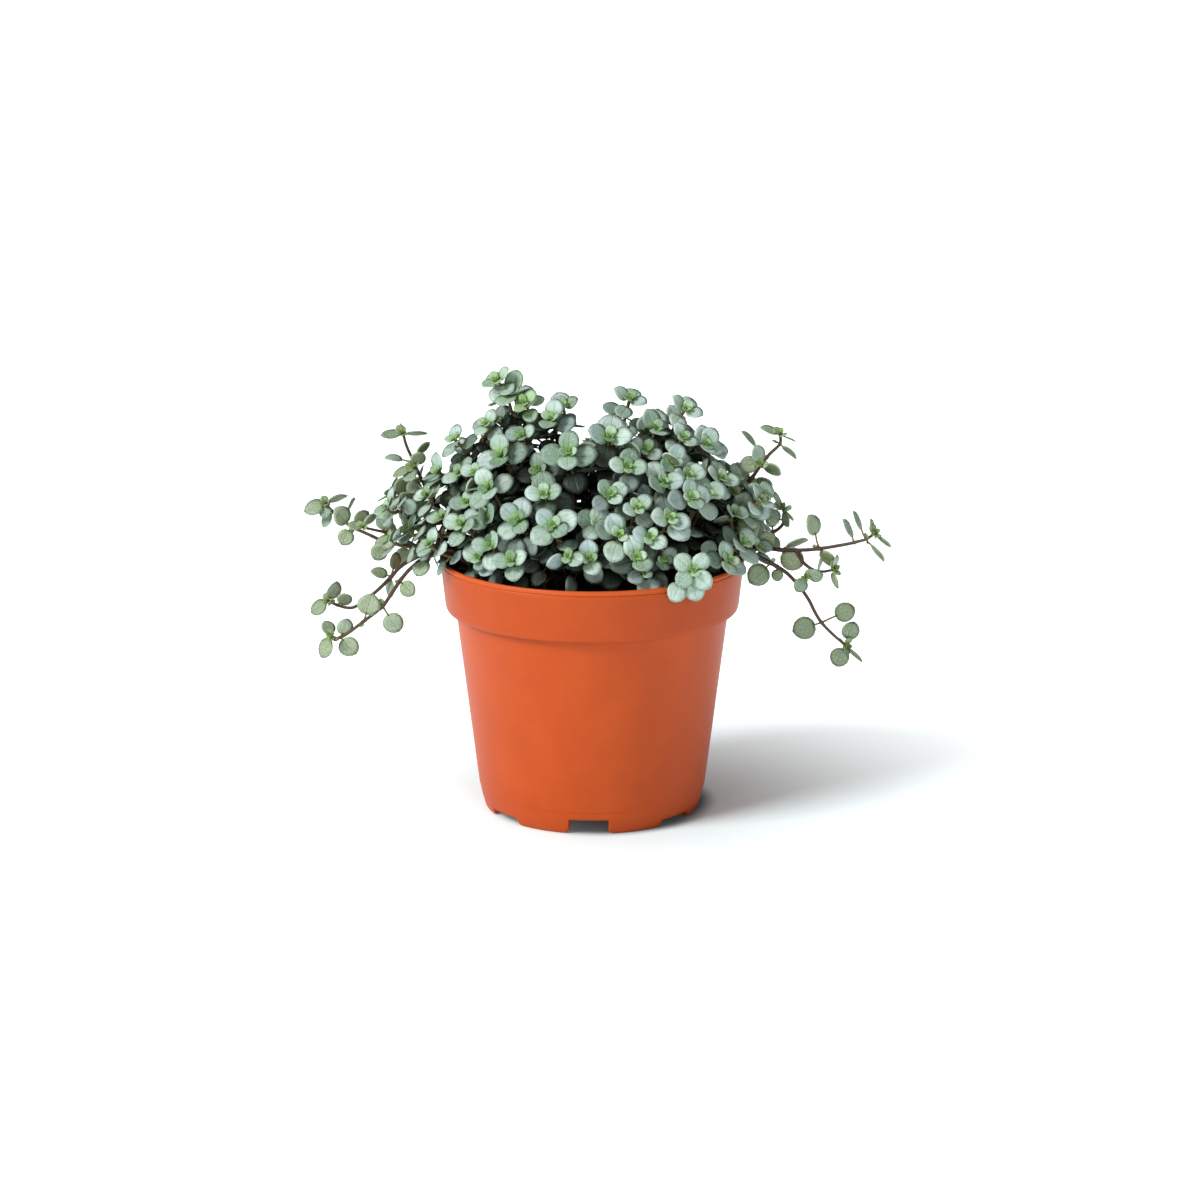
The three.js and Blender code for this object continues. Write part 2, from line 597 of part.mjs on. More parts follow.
function rosetteLeaves(shoot, stem, draw) {
  const { path, blade } = shoot;
  const start = 360 * draw();
  PAIRS.forEach((pair, k) => {
    const t = placeBelow(path, pair.below);
    const jitter = [draw(), draw(), draw(), draw()];
    if (t < 0.6 || k >= shoot.pairs) return;
    const heading = headingAt(path, t);
    const attach = onStem(path, t);
    const side = new THREE.Vector3(0.2, 0.9, 0.3).cross(heading).normalize();
    const across = new THREE.Vector3().crossVectors(heading, side);
    const lean = k < 2 ? heading : heading.clone().add(new THREE.Vector3(0, -0.2, 0.6)).normalize();
    for (const half of [0, 1]) {
      const leaf = firstClear((turn, rise, shrink) => {
        const swing = AZIMUTH_SPREAD * (jitter[half] - 0.5) + turn;
        const azimuth = degrees(start + 90 * k + 180 * half + swing);
        const out = side.clone().multiplyScalar(Math.cos(azimuth)).addScaledVector(across, Math.sin(azimuth));
        const face = lean.clone().addScaledVector(out, -lean.dot(out)).normalize();
        const lift = degrees(pair.rise + RISE_SPREAD * (jitter[2] - 0.5) + rise);
        const outward = out.clone().multiplyScalar(Math.cos(lift)).addScaledVector(face, Math.sin(lift));
        face.multiplyScalar(Math.cos(lift)).addScaledVector(out, -Math.sin(lift));
        const length = blade * pair.size * shrink * (1 + LENGTH_SPREAD * (jitter[3] - 0.5));
        return makeLeaf(attach, outward, face, length, pair.petiole);
      }, stem);
      if (leaf) placed.push(leaf);
    }
  });
}

function firstClear(make, stem) {
  for (const shrink of SHRINKS) {
    for (const rise of RISES) {
      for (const turn of TURNS) {
        const leaf = make(turn, rise, shrink);
        if (!blocked(leaf, stem, placed, stemPoints)) {
          leaf.stem = stem;
          return leaf;
        }
      }
    }
  }
  return null;
}

stems.forEach(({ shoots }, stem) => {
  for (const shoot of shoots) {
    for (const row of shoot.leaves ?? []) {
      placed.push({ ...handLeaf(shoot.path, row), stem });
    }
  }
});
stems.forEach(({ shoots }, stem) => {
  const draw = drawsFrom(101 + stem);
  for (const shoot of shoots) {
    if (shoot.blade) rosetteLeaves(shoot, stem, draw);
  }
});

// ---- solids ----

function stemSolid({ foot, shoots }, stem) {
  let solid = null;
  shoots.forEach(({ path }, i) => {
    const centres = [...path];
    const thick = i === 0 ? STEM_RADIUS : 0.9 * STEM_RADIUS;
    const radii = path.map((_, t) => THREE.MathUtils.lerp(thick, STEM_TIP_RADIUS, t / (path.length - 1)));
    if (i === 0) {
      centres.unshift(foot.clone().setZ(SOIL_LEVEL - ROOT_DEPTH));
      radii.unshift(STEM_RADIUS);
    }
    const tube = solidOf(sweep(centres, radii));
    solid = solid ? solid.add(tube) : tube;
  });
  for (const leaf of placed) {
    if (leaf.stem === stem) solid = solid.add(solidOf(leafGeometry(leaf)));
  }
  return solid.asOriginal().simplify(SMOOTHING);
}

function soilTop(r, turn) {
  const swell = SOIL_MOUND * (1 - (r / COLLAR_FOOT_RADIUS) ** 2);
  return SOIL_LEVEL + swell + 0.35 * Math.sin(3 * turn + 0.12 * r) + 0.3 * Math.sin(5 * turn - 0.2 * r + 1);
}

function buildSoil() {
  const wallAt = (z) => potRadiusAt(z) - WALL - GAP - 0.15;
  const body = turned([
    [0, floorTop + GAP],
    [BAND_RADIUS - WALL - 1.4, floorTop + GAP],
    [NECK_RADIUS - WALL - 0.5, collarFoot],
    [NECK_RADIUS - WALL - 0.4, collarFoot + LEDGE_THICKNESS + 0.6],
    [COLLAR_FOOT_RADIUS - WALL - 0.5, collarFoot + LEDGE_THICKNESS + 1],
    [wallAt(SOIL_LEVEL - 1), SOIL_LEVEL - 1],
    [36, SOIL_LEVEL],
    [18, SOIL_LEVEL],
    [0, SOIL_LEVEL],
  ]);
  const place = body.getAttribute("position");
  for (let i = 0; i < place.count; i++) {
    const [x, y, z] = [place.getX(i), place.getY(i), place.getZ(i)];
    if (z > SOIL_LEVEL - 0.5) place.setZ(i, soilTop(Math.hypot(x, y), x || y ? Math.atan2(y, x) : 0));
  }
  let soil = solidOf(body);
  for (const { foot } of stems) {
    const hole = sweep(
      [foot.clone().setZ(SOIL_LEVEL - ROOT_DEPTH - GAP), foot.clone().setZ(SOIL_LEVEL + 4)],
      [STEM_RADIUS + 1.5 * GAP, STEM_RADIUS + 1.5 * GAP],
    );
    soil = soil.subtract(solidOf(hole));
  }
  return geometryOf(soil);
}

addMesh("pot", buildPot(), colours.pot);
addMesh("soil", buildSoil(), colours.soil);
stems.forEach((entry, stem) => {
  const name = `leafy_stem_${String(stem + 1).padStart(2, "0")}`;
  addMesh(name, geometryOf(stemSolid(entry, stem)), colours.foliage);
});

export default root;
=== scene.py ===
import itertools
import json
import math

import bpy
import numpy as np
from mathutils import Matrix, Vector

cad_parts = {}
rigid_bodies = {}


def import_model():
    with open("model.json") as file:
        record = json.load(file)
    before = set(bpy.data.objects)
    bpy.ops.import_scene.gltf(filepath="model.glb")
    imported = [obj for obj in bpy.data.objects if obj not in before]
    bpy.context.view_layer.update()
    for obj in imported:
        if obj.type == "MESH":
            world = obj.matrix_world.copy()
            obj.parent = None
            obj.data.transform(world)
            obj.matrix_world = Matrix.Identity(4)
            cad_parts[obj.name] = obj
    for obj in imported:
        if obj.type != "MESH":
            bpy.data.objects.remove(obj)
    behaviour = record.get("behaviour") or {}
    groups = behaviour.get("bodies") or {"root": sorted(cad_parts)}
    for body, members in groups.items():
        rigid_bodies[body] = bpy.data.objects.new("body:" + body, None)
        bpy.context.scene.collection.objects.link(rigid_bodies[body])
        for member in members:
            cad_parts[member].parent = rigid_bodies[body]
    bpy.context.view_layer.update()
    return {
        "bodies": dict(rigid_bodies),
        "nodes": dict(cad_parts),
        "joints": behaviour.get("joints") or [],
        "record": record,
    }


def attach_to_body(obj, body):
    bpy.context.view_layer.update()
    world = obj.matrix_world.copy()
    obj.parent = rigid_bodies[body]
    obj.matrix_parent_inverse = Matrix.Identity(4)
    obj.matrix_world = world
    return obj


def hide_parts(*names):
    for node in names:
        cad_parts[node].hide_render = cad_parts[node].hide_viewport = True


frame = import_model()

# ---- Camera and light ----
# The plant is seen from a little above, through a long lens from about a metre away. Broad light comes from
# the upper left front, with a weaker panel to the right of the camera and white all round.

MM = 0.001
VIEW_DISTANCE = 1100
VIEW_HEIGHT = 355.85
VIEW_PITCH = 0.252
LENS_MM = 98.7
SENSOR_MM = 36
FRAME_SHIFT = 0.0065
WINDOW_SIDE = (-0.78, -0.5, 0.72)
WINDOW_STRENGTH = 3.3
WINDOW_SPREAD = math.radians(24)
WINDOW_COLOUR = (1, 0.99, 0.97)
PANEL_PLACE = (0.55, -1.4, 0.75)
PANEL_AIM = (0, 0, 0.07)
PANEL_SIZE = 0.5
PANEL_POWER = 4.3
ROOM_STRENGTH = 0.22

lens = bpy.data.cameras.new("camera")
lens.lens = LENS_MM
lens.sensor_width = SENSOR_MM
lens.shift_x = FRAME_SHIFT
camera = bpy.data.objects.new("camera", lens)
camera.location = (0, -VIEW_DISTANCE * MM, VIEW_HEIGHT * MM)
camera.rotation_euler = (math.pi / 2 - VIEW_PITCH, 0, 0)
bpy.context.scene.collection.objects.link(camera)
bpy.context.scene.camera = camera
bpy.context.scene.view_settings.view_transform = "Standard"


def hung(name, kind, place, towards, strength):
    """A lamp of a kind at a place in metres, which shines along a direction."""
    lamp = bpy.data.lights.new(name, kind)
    lamp.energy = strength
    holder = bpy.data.objects.new(name, lamp)
    holder.location = place
    holder.rotation_euler = (-Vector(towards)).to_track_quat("Z", "Y").to_euler()
    bpy.context.scene.collection.objects.link(holder)
    return lamp


window = hung("window light", "SUN", (0, 0, 0), -Vector(WINDOW_SIDE), WINDOW_STRENGTH)
window.angle = WINDOW_SPREAD
window.color = WINDOW_COLOUR
panel = hung("front fill", "AREA", PANEL_PLACE, Vector(PANEL_AIM) - Vector(PANEL_PLACE), PANEL_POWER)
panel.size = PANEL_SIZE

world = bpy.data.worlds.new("white room")
world.use_nodes = True
backdrop = world.node_tree.nodes["Background"]
backdrop.inputs["Color"].default_value = (1, 1, 1, 1)
backdrop.inputs["Strength"].default_value = ROOM_STRENGTH
bpy.context.scene.world = world

# ---- Pot ----
# A thin-walled nursery pot, moulded in one piece in terracotta-orange plastic: a flared collar, a stepped
# body, a foot ring with seven notches and a drain hole inside each notch.

TURN = 2 * math.pi


def fresh_mesh(name, points, faces, materials, smooth=True):
    """A new object from points in millimetres and a list of arrays of faces, each array with one face size
    and, as a pair, the number of the material that its faces wear."""
    mesh = bpy.data.meshes.new(name)
    loops = np.concatenate([np.asarray(f).ravel() for f, _ in faces])
    totals = np.concatenate([np.full(len(f), np.asarray(f).shape[1]) for f, _ in faces])
    worn = np.concatenate([np.full(len(f), slot) for f, slot in faces])
    mesh.vertices.add(len(points))
    mesh.vertices.foreach_set("co", (np.asarray(points, float) * MM).astype(np.float32).ravel())
    mesh.loops.add(len(loops))
    mesh.loops.foreach_set("vertex_index", loops.astype(np.int32))
    mesh.polygons.add(len(totals))
    mesh.polygons.foreach_set("loop_start", np.concatenate([[0], np.cumsum(totals)[:-1]]).astype(np.int32))
    mesh.polygons.foreach_set("material_index", worn.astype(np.int32))
    for material in materials:
        mesh.materials.append(material)
    mesh.update(calc_edges=True)
    mesh.polygons.foreach_set("use_smooth", np.full(len(totals), smooth))
    mesh.validate()
    piece = bpy.data.objects.new(name, mesh)
    bpy.context.scene.collection.objects.link(piece)
    return piece


def point_value(piece, name, values):
    """A number, or three, for each vertex of a piece, which its material can read."""
    values = np.asarray(values, np.float32)
    kind, field = ("FLOAT", "value") if values.ndim == 1 else ("FLOAT_VECTOR", "vector")
    piece.data.attributes.new(name, kind, "POINT").data.foreach_set(field, values.ravel())


class Value:
    """A socket's output in a material. Sums, products and the like of it add Math nodes."""

    def __init__(self, finish, output):
        self.finish, self.output = finish, output

    def maths(self, operation, *inputs):
        """One Math node, whose sockets take the inputs in turn."""
        return self.finish.node("ShaderNodeMath", {"operation": operation}, dict(enumerate(inputs)))

    def __add__(self, other):
        return self.maths("ADD", self, other)

    def __sub__(self, other):
        return self.maths("SUBTRACT", self, other)

    def __rsub__(self, other):
        return self.maths("SUBTRACT", other, self)

    def __mul__(self, other):
        return self.maths("MULTIPLY", self, other)

    def __truediv__(self, other):
        return self.maths("DIVIDE", self, other)

    def root(self):
        """Its square root."""
        return self.maths("SQRT", self)

    def __abs__(self):
        return self.maths("ABSOLUTE", self)

    def ramp(self, low, high):
        """Rises smoothly from 0 to 1 while this value goes from low to high."""
        return self.finish.node(
            "ShaderNodeMapRange",
            {"interpolation_type": "SMOOTHSTEP"},
            {"Value": self, "From Min": low, "From Max": high},
        )

    __radd__, __rmul__ = __add__, __mul__


def light(red, green, blue):
    """A colour as a screen shows it, 0 to 255, turned into the light that it stands for."""
    shares = np.array([red, green, blue]) / 255
    return (*np.where(shares <= 0.04045, shares / 12.92, ((shares + 0.055) / 1.055) ** 2.4), 1)


class Finish:
    """A material. Even values are set on its shader by name, and node() adds whatever varies."""

    def __init__(self, name, **even):
        self.material = bpy.data.materials.new(name)
        self.material.use_nodes = True
        self.tree = self.material.node_tree
        self.shader = self.tree.nodes["Principled BSDF"]
        for socket, value in even.items():
            self.shader.inputs[socket.replace("_", " ").title().replace("Ior", "IOR")].default_value = value

    def node(self, kind, settings=None, inputs=None, out=0):
        """Any node: its settings first, then a value or a link for each socket that is named."""
        made = self.tree.nodes.new(kind)
        for setting, value in (settings or {}).items():
            setattr(made, setting, value)
        for socket, value in (inputs or {}).items():
            if isinstance(value, Value):
                self.tree.links.new(value.output, made.inputs[socket])
            else:
                made.inputs[socket].default_value = value
        return Value(self, made.outputs[out])

    def place(self):
        """Where a point lies on the piece, in metres."""
        return self.node("ShaderNodeTexCoord", out="Object")

    def own(self, name):
        """A number kept at each of the piece's vertices."""
        return self.node("ShaderNodeAttribute", {"attribute_name": name}, out="Fac")

    def own_three(self, name):
        """Three numbers kept at each of the piece's vertices."""
        kept = self.node("ShaderNodeAttribute", {"attribute_name": name}, out="Vector")
        return [self.node("ShaderNodeSeparateXYZ", None, {0: kept}, out=axis) for axis in "XYZ"]

    def away_from(self, spot):
        """How far a point lies from a spot, in metres."""
        settings = {"operation": "DISTANCE"}
        return self.node("ShaderNodeVectorMath", settings, {0: self.place(), 1: spot}, out="Value")

    def noise(self, grain_mm, detail=3, roughness=0.55, stretch=None):
        """Even noise from 0 to 1 whose patches are about one grain wide."""
        where = self.place()
        if stretch:
            where = self.node("ShaderNodeMapping", None, {"Vector": where, "Scale": stretch})
        settings = {"Vector": where, "Scale": 1 / (grain_mm * MM), "Detail": detail, "Roughness": roughness}
        return self.node("ShaderNodeTexNoise", None, settings)

    def mix(self, share, first, second):
        """The first colour where the share is 0, the second where it is 1."""
        return self.node("ShaderNodeMix", {"data_type": "RGBA"}, {0: share, 6: first, 7: second}, out=2)

    def wear(self, **varying):
        """Joins what varies to the shader's sockets."""
        for socket, value in varying.items():
            self.tree.links.new(value.output, self.shader.inputs[socket.replace("_", " ").title()])
        return self.material

    def bump(self, height, depth_mm, strength):
        """Fine relief whose height from 0 to 1 stands for a depth in millimetres."""
        sockets = {"Height": height, "Distance": depth_mm * MM, "Strength": strength}
        return self.node("ShaderNodeBump", None, sockets)


RIM_RADIUS = 52.5
POT_HEIGHT = 88.8
COLLAR_FOOT = 70.6
COLLAR_RADIUS = 50.6
LEDGE = 1.4
NECK_RADIUS = 47.1
BAND_RADIUS = 39.4
BAND_HEIGHT = 8.2
FOOT_RADIUS = 37.2
RING_WIDTH = 2.2
WALL = 1.3
FLOOR_UNDERSIDE = 5.2
FLOOR_TOP = 6.8
NOTCHES = 7
NOTCH_HALF_WIDTH = 6.7
NOTCH_HEIGHTS = np.array([5.3, 2.6, 5.3, 5.3, 5.3, 5.3, 2.6])
NOTCH_CORNER = 0.7
TOE_CORNER = 2.2
NOTCH_TURN = math.radians(-91.8)
DRAIN_RADIUS = 3.2
DRAIN_CIRCLE = 24


def rounded(corners, steps=5):
    """A profile whose corners (r, z, radius) are eased: each is swapped for a curve that starts and ends one
    radius away along its two sides and bends towards it, as a quadratic curve does."""
    spots = np.array([c[:2] for c in corners], float)
    radii = np.array([c[2] for c in corners], float)
    profile = [spots[:1]]
    share = np.linspace(0, 1, steps)[:, None]
    for before, here, after, radius in zip(spots, spots[1:], spots[2:], radii[1:]):
        start = here + (before - here) * min(0.5, radius / np.linalg.norm(before - here))
        end = here + (after - here) * min(0.5, radius / np.linalg.norm(after - here))
        curve = (1 - share) ** 2 * start + 2 * share * (1 - share) * here + share**2 * end
        profile.append(curve if radius else here[None])
    return np.concatenate(profile + [spots[-1:]])


def around(profile, angles):
    """Points at (r cos a, r sin a, z) for every profile point and angle."""
    r, z = profile.T
    x, y = np.outer(r, np.cos(angles)), np.outer(r, np.sin(angles))
    return np.stack([x, y, np.broadcast_to(z[:, None], x.shape)], -1)


def revolved_faces(rows, columns):
    """Quads of a grid closed around its columns, whose first and last rows are one point each: triangles
    there. Points are numbered as the first pole, then row by row, then the last pole."""
    ring = np.arange(columns)
    following = (ring + 1) % columns
    start = 1 + columns * np.arange(rows - 3)[:, None]
    quads = np.stack(
        [start + ring, start + columns + ring, start + columns + following, start + following], -1
    )
    last = 1 + columns * (rows - 3)
    end = last + columns
    caps = np.stack([np.zeros_like(ring), 1 + ring, 1 + following], -1)
    ends = np.stack([last + following, last + ring, np.full_like(ring, end)], -1)
    return quads.reshape(-1, 4)[:, ::-1], np.concatenate([caps[:, ::-1], ends[:, ::-1]])


def poles_merged(grid):
    """A grid whose first and last rows meet on the axis, with one point kept of each."""
    return np.concatenate([grid[0, :1], grid[1:-1].reshape(-1, 3), grid[-1, :1]])


pot_profile = rounded(
    [
        (0, FLOOR_UNDERSIDE, 0),
        (FOOT_RADIUS - RING_WIDTH, FLOOR_UNDERSIDE, 0.5),
        (FOOT_RADIUS - RING_WIDTH + 0.3, 0, 0.3),
        (FOOT_RADIUS, 0, 0.6),
        (BAND_RADIUS - 0.8, 4.4, 2),
        (BAND_RADIUS - 0.2, BAND_HEIGHT - 0.2, 0.15),
        (BAND_RADIUS, BAND_HEIGHT, 0.15),
        (NECK_RADIUS, COLLAR_FOOT, 0.35),
        (COLLAR_RADIUS - 0.4, COLLAR_FOOT + 0.1, 0.8),
        (COLLAR_RADIUS, COLLAR_FOOT + 1.6, 0.8),
        (RIM_RADIUS - 0.35, POT_HEIGHT - 2.1, 0.2),
        (RIM_RADIUS - 0.65, POT_HEIGHT - 1.7, 0.2),
        (RIM_RADIUS, POT_HEIGHT - 1.4, 0.4),
        (RIM_RADIUS - 0.1, POT_HEIGHT, 0.9),
        (RIM_RADIUS - WALL, POT_HEIGHT, 0.5),
        (RIM_RADIUS - WALL - 0.2, POT_HEIGHT - 1.8, 0.5),
        (COLLAR_RADIUS - WALL, COLLAR_FOOT + LEDGE + 0.4, 0.8),
        (NECK_RADIUS - WALL, COLLAR_FOOT + LEDGE, 0.5),
        (BAND_RADIUS - 1.6, BAND_HEIGHT + 0.8, 1.4),
        (BAND_RADIUS - 2.4, FLOOR_TOP, 0.6),
        (0, FLOOR_TOP, 0),
    ]
)

# The angles lie close together at a notch's sides, where its corners turn, and wide apart along a foot.
notch_centres = NOTCH_TURN + TURN / NOTCHES * np.arange(NOTCHES)
edge_steps = np.array([-TOE_CORNER, -1.7, -1.2, -0.7, -0.35, -0.1, 0.02, 0.1, 0.35, NOTCH_CORNER])
toe_from = NOTCH_HALF_WIDTH + TOE_CORNER + 0.8
foot_steps = np.linspace(toe_from, FOOT_RADIUS * TURN / NOTCHES - toe_from, 12)
steps = [edge_steps - NOTCH_HALF_WIDTH, [-3, 0, 3], NOTCH_HALF_WIDTH - edge_steps[::-1], foot_steps]
pot_angles = np.sort((notch_centres[:, None] + np.concatenate(steps) / FOOT_RADIUS).ravel())


def notch_height(angles):
    """How high the foot ring is cut away: the notch's height between its sides, with its upper corners and
    the feet's lower corners rounded as quarter circles, and 0 between notches."""
    off = (angles[:, None] - notch_centres + math.pi) % TURN - math.pi
    away = np.abs(off).min(1) * FOOT_RADIUS
    height = NOTCH_HEIGHTS[np.abs(off).argmin(1)]
    into = np.clip(away - (NOTCH_HALF_WIDTH - NOTCH_CORNER), 0, NOTCH_CORNER)
    top = height - NOTCH_CORNER + np.sqrt(NOTCH_CORNER**2 - into**2)
    onto = TOE_CORNER - np.clip(away - NOTCH_HALF_WIDTH, 0, TOE_CORNER)
    toe = TOE_CORNER - np.sqrt(TOE_CORNER**2 - onto**2)
    return np.where(away < NOTCH_HALF_WIDTH, top, toe)


pot_grid = around(pot_profile, pot_angles)
foot_part = (pot_profile[:, 0] > FOOT_RADIUS - RING_WIDTH + 0.1) & (pot_profile[:, 1] < FLOOR_TOP - 0.3)
pot_grid[foot_part, :, 2] = np.maximum(pot_grid[foot_part, :, 2], notch_height(pot_angles))

plastic = Finish("terracotta plastic", specular_ior_level=0.22)
mottle = plastic.noise(14, 4)
fine_grain = plastic.noise(0.5, 2)
streaks = plastic.noise(5, 3, stretch=(1, 1, 0.12))
height = plastic.node("ShaderNodeSeparateXYZ", None, {0: plastic.place()}, out="Z")
height_share = height / (POT_HEIGHT * MM)
orange = plastic.mix(mottle.ramp(0.3, 0.75), light(177, 68, 14), light(184, 73, 18))
orange = plastic.mix(streaks.ramp(0.55, 0.85) * 0.2, orange, light(194, 84, 30))
# Painted shade: the collar, from its foot up, is mixed towards a darker orange.
orange = plastic.mix(height_share.ramp(0.785, 0.8) * 0.24, orange, light(150, 56, 10))
# Painted highlight: the top of the rim, along the lip, is mixed towards a lighter orange.
orange = plastic.mix(height_share.ramp(0.96, 1.0) * 0.5, orange, light(204, 92, 38))
pot_rough = 0.4 + mottle * 0.08 + fine_grain * 0.06
pot_relief = plastic.bump(fine_grain * 0.6 + streaks * 0.4, 0.05, 0.35)
pot_material = plastic.wear(base_color=orange, roughness=pot_rough, normal=pot_relief)
pot_faces = [(faces, 0) for faces in revolved_faces(*pot_grid.shape[:2])]
pot = fresh_mesh("pot_shell", poles_merged(pot_grid), pot_faces, [pot_material])

# The drain holes are cut with seven round drills, one behind each notch, that pass through the floor.
drill_turn = np.linspace(0, TURN, 24, endpoint=False)
low, high = FLOOR_UNDERSIDE - RING_WIDTH, FLOOR_TOP + RING_WIDTH
drill_profile = np.array([[0, low], [DRAIN_RADIUS, low], [DRAIN_RADIUS, high], [0, high]])
one_drill = poles_merged(around(drill_profile, drill_turn))
centres = DRAIN_CIRCLE * np.stack([np.cos(notch_centres), np.sin(notch_centres), 0 * notch_centres], -1)
drill_faces = revolved_faces(4, len(drill_turn))
drills = fresh_mesh(
    "drills",
    (centres[:, None] + one_drill).reshape(-1, 3),
    [
        ((np.arange(NOTCHES)[:, None, None] * len(one_drill) + faces).reshape(-1, faces.shape[1]), 0)
        for faces in drill_faces
    ],
    [pot_material],
)
drains = pot.modifiers.new("drain holes", "BOOLEAN")
drains.object = drills
drains.operation = "DIFFERENCE"
drains.solver = "EXACT"
drilled = bpy.data.meshes.new_from_object(pot.evaluated_get(bpy.context.evaluated_depsgraph_get()))
pot.modifiers.clear()
pot.data = drilled
bpy.data.objects.remove(drills)
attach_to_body(pot, "root")
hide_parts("pot")

# ---- Soil ----
# Dark potting mix, mostly peat and fine bark, filled into the pot to a few millimetres below the rim. Its
# top is a low mound, rough with crumbs.

SOIL_LEVEL = 80
SOIL_MOUND = 1.6
GAP = 0.3
WAVES = 40
CRUMB_SHARE = 0.012
TOP_RINGS = 60
BED_COLUMNS = 240
EDGE_WIDTH = 2.5
SETTLED = 0.4
draws = np.random.default_rng(7)


def soil_top(r, turn):
    """The height of the soil: a low mound with slow swells round it."""
    swell = SOIL_MOUND * (1 - (r / COLLAR_RADIUS) ** 2)
    return SOIL_LEVEL + swell + 0.35 * np.sin(3 * turn + 0.12 * r) + 0.3 * np.sin(5 * turn - 0.2 * r + 1)


wave_turn = draws.uniform(0, TURN, WAVES)
wave_length = draws.uniform(1.6, 7, WAVES)
wave_start = draws.uniform(0, TURN, WAVES)


def crumbs(x, y):
    """Small lumps: the sum of 40 waves in random directions, each in its height a small share of its length,
    which is 1.6 to 7 mm."""
    along = x[..., None] * np.cos(wave_turn) + y[..., None] * np.sin(wave_turn)
    return (np.sin(TURN * along / wave_length + wave_start) * wave_length).sum(-1) * CRUMB_SHARE


soil_radius = RIM_RADIUS - WALL - 1.5
top_radii = np.linspace(soil_radius, 0, TOP_RINGS)
bed_sides = [
    [0, FLOOR_TOP + GAP],
    [BAND_RADIUS - 3, FLOOR_TOP + GAP],
    [NECK_RADIUS - WALL - 0.5, COLLAR_FOOT],
    [NECK_RADIUS - WALL - 0.4, COLLAR_FOOT + LEDGE + 0.6],
    [COLLAR_RADIUS - WALL - 0.5, COLLAR_FOOT + LEDGE + 1],
    [soil_radius, SOIL_LEVEL - 2.5],
]
bed_profile = np.concatenate([bed_sides, np.stack([top_radii, np.full(TOP_RINGS, SOIL_LEVEL)], -1)])
bed = around(bed_profile, np.linspace(0, TURN, BED_COLUMNS, endpoint=False))
top = bed[len(bed_sides) :]
level = soil_top(np.hypot(top[..., 0], top[..., 1]), np.arctan2(top[..., 1], top[..., 0]))
edge = np.clip((soil_radius - top_radii) / EDGE_WIDTH, 0.15, 1)[:, None]
top[..., 2] = level + edge * crumbs(top[..., 0], top[..., 1]) - SETTLED
bed[-1, :, 2] = bed[-1, :, 2].mean()

mix = Finish("potting mix", specular_ior_level=0.25)
clods = mix.noise(2.2, 5, 0.7)
dust = mix.noise(0.35, 3)
dark = mix.mix(clods.ramp(0.35, 0.7), light(20, 16, 14), light(52, 40, 32))
dark = mix.mix(dust.ramp(0.6, 0.8) * 0.5, dark, light(84, 68, 54))
soil_relief = mix.bump(clods * 0.7 + dust * 0.3, 0.8, 0.8)
soil_material = mix.wear(base_color=dark, roughness=0.78 + dust * 0.2, normal=soil_relief)
bed_faces = [(faces, 0) for faces in revolved_faces(*bed.shape[:2])]
soil = fresh_mesh("soil_bed", poles_merged(bed), bed_faces, [soil_material])
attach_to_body(soil, "root")
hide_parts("soil")

# ---- Grains and perlite ----
# What lies loose on the mix: chips of bark, grains of peat and a few pale grains of perlite, each a rough
# lump that is half sunk in the top.

GOLDEN = (1 + math.sqrt(5)) / 2
SIGNS = [(a, b * GOLDEN) for a in (-1, 1) for b in (-1, 1)]
corners = [[0, a, b] for a, b in SIGNS] + [[a, b, 0] for a, b in SIGNS] + [[b, 0, a] for a, b in SIGNS]
LUMP = np.array(corners, float) / math.sqrt(1 + GOLDEN**2)


def lump_faces():
    """The twenty triangles of an icosahedron: every three of its corners that lie one edge apart, in the
    order that faces out."""
    near = np.linalg.norm(LUMP[:, None] - LUMP, axis=-1) < 1.1
    trio = np.array([(a, b, c) for a in range(12) for b in range(a) for c in range(b)])
    first, second, third = trio.T
    trio = trio[near[first, second] & near[second, third] & near[first, third]]
    a, b, c = LUMP[trio].transpose(1, 0, 2)
    inward = (np.cross(b - a, c - a) * a).sum(-1) < 0
    trio[inward] = trio[inward][:, ::-1]
    return trio


def any_turn(count):
    """A random turn for each of count pieces, as a rotation matrix made from two random directions."""
    first = draws.normal(size=(count, 3))
    first /= np.linalg.norm(first, axis=1, keepdims=True)
    second = np.cross(first, draws.normal(size=(count, 3)))
    second /= np.linalg.norm(second, axis=1, keepdims=True)
    return np.stack([first, second, np.cross(first, second)], -1)


def scattered(name, places, sizes, stretch, material):
    """Rough lumps: an icosahedron for each place, its corners pulled in at random by up to a third,
    stretched, turned at random and scaled to its size."""
    count = len(places)
    shape = LUMP * draws.uniform(0.68, 1, (count, 12, 1)) * stretch[:, None]
    points = places[:, None] + np.einsum("nij,nkj->nki", any_turn(count), shape) * sizes[:, None, None]
    faces = (np.arange(count)[:, None, None] * 12 + lump_faces()).reshape(-1, 3)
    piece = fresh_mesh(name, points.reshape(-1, 3), [(faces, 0)], [material], smooth=False)
    point_value(piece, "tone", np.repeat(draws.uniform(0, 1, count), 12))
    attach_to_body(piece, "root")


def on_soil(count, reach):
    """Random places on the soil, even over its area out to a reach."""
    r = reach * np.sqrt(draws.uniform(0, 1, count))
    turn = draws.uniform(0, TURN, count)
    x, y = r * np.cos(turn), r * np.sin(turn)
    return np.stack([x, y, soil_top(r, turn) - SETTLED + crumbs(x, y)], -1)


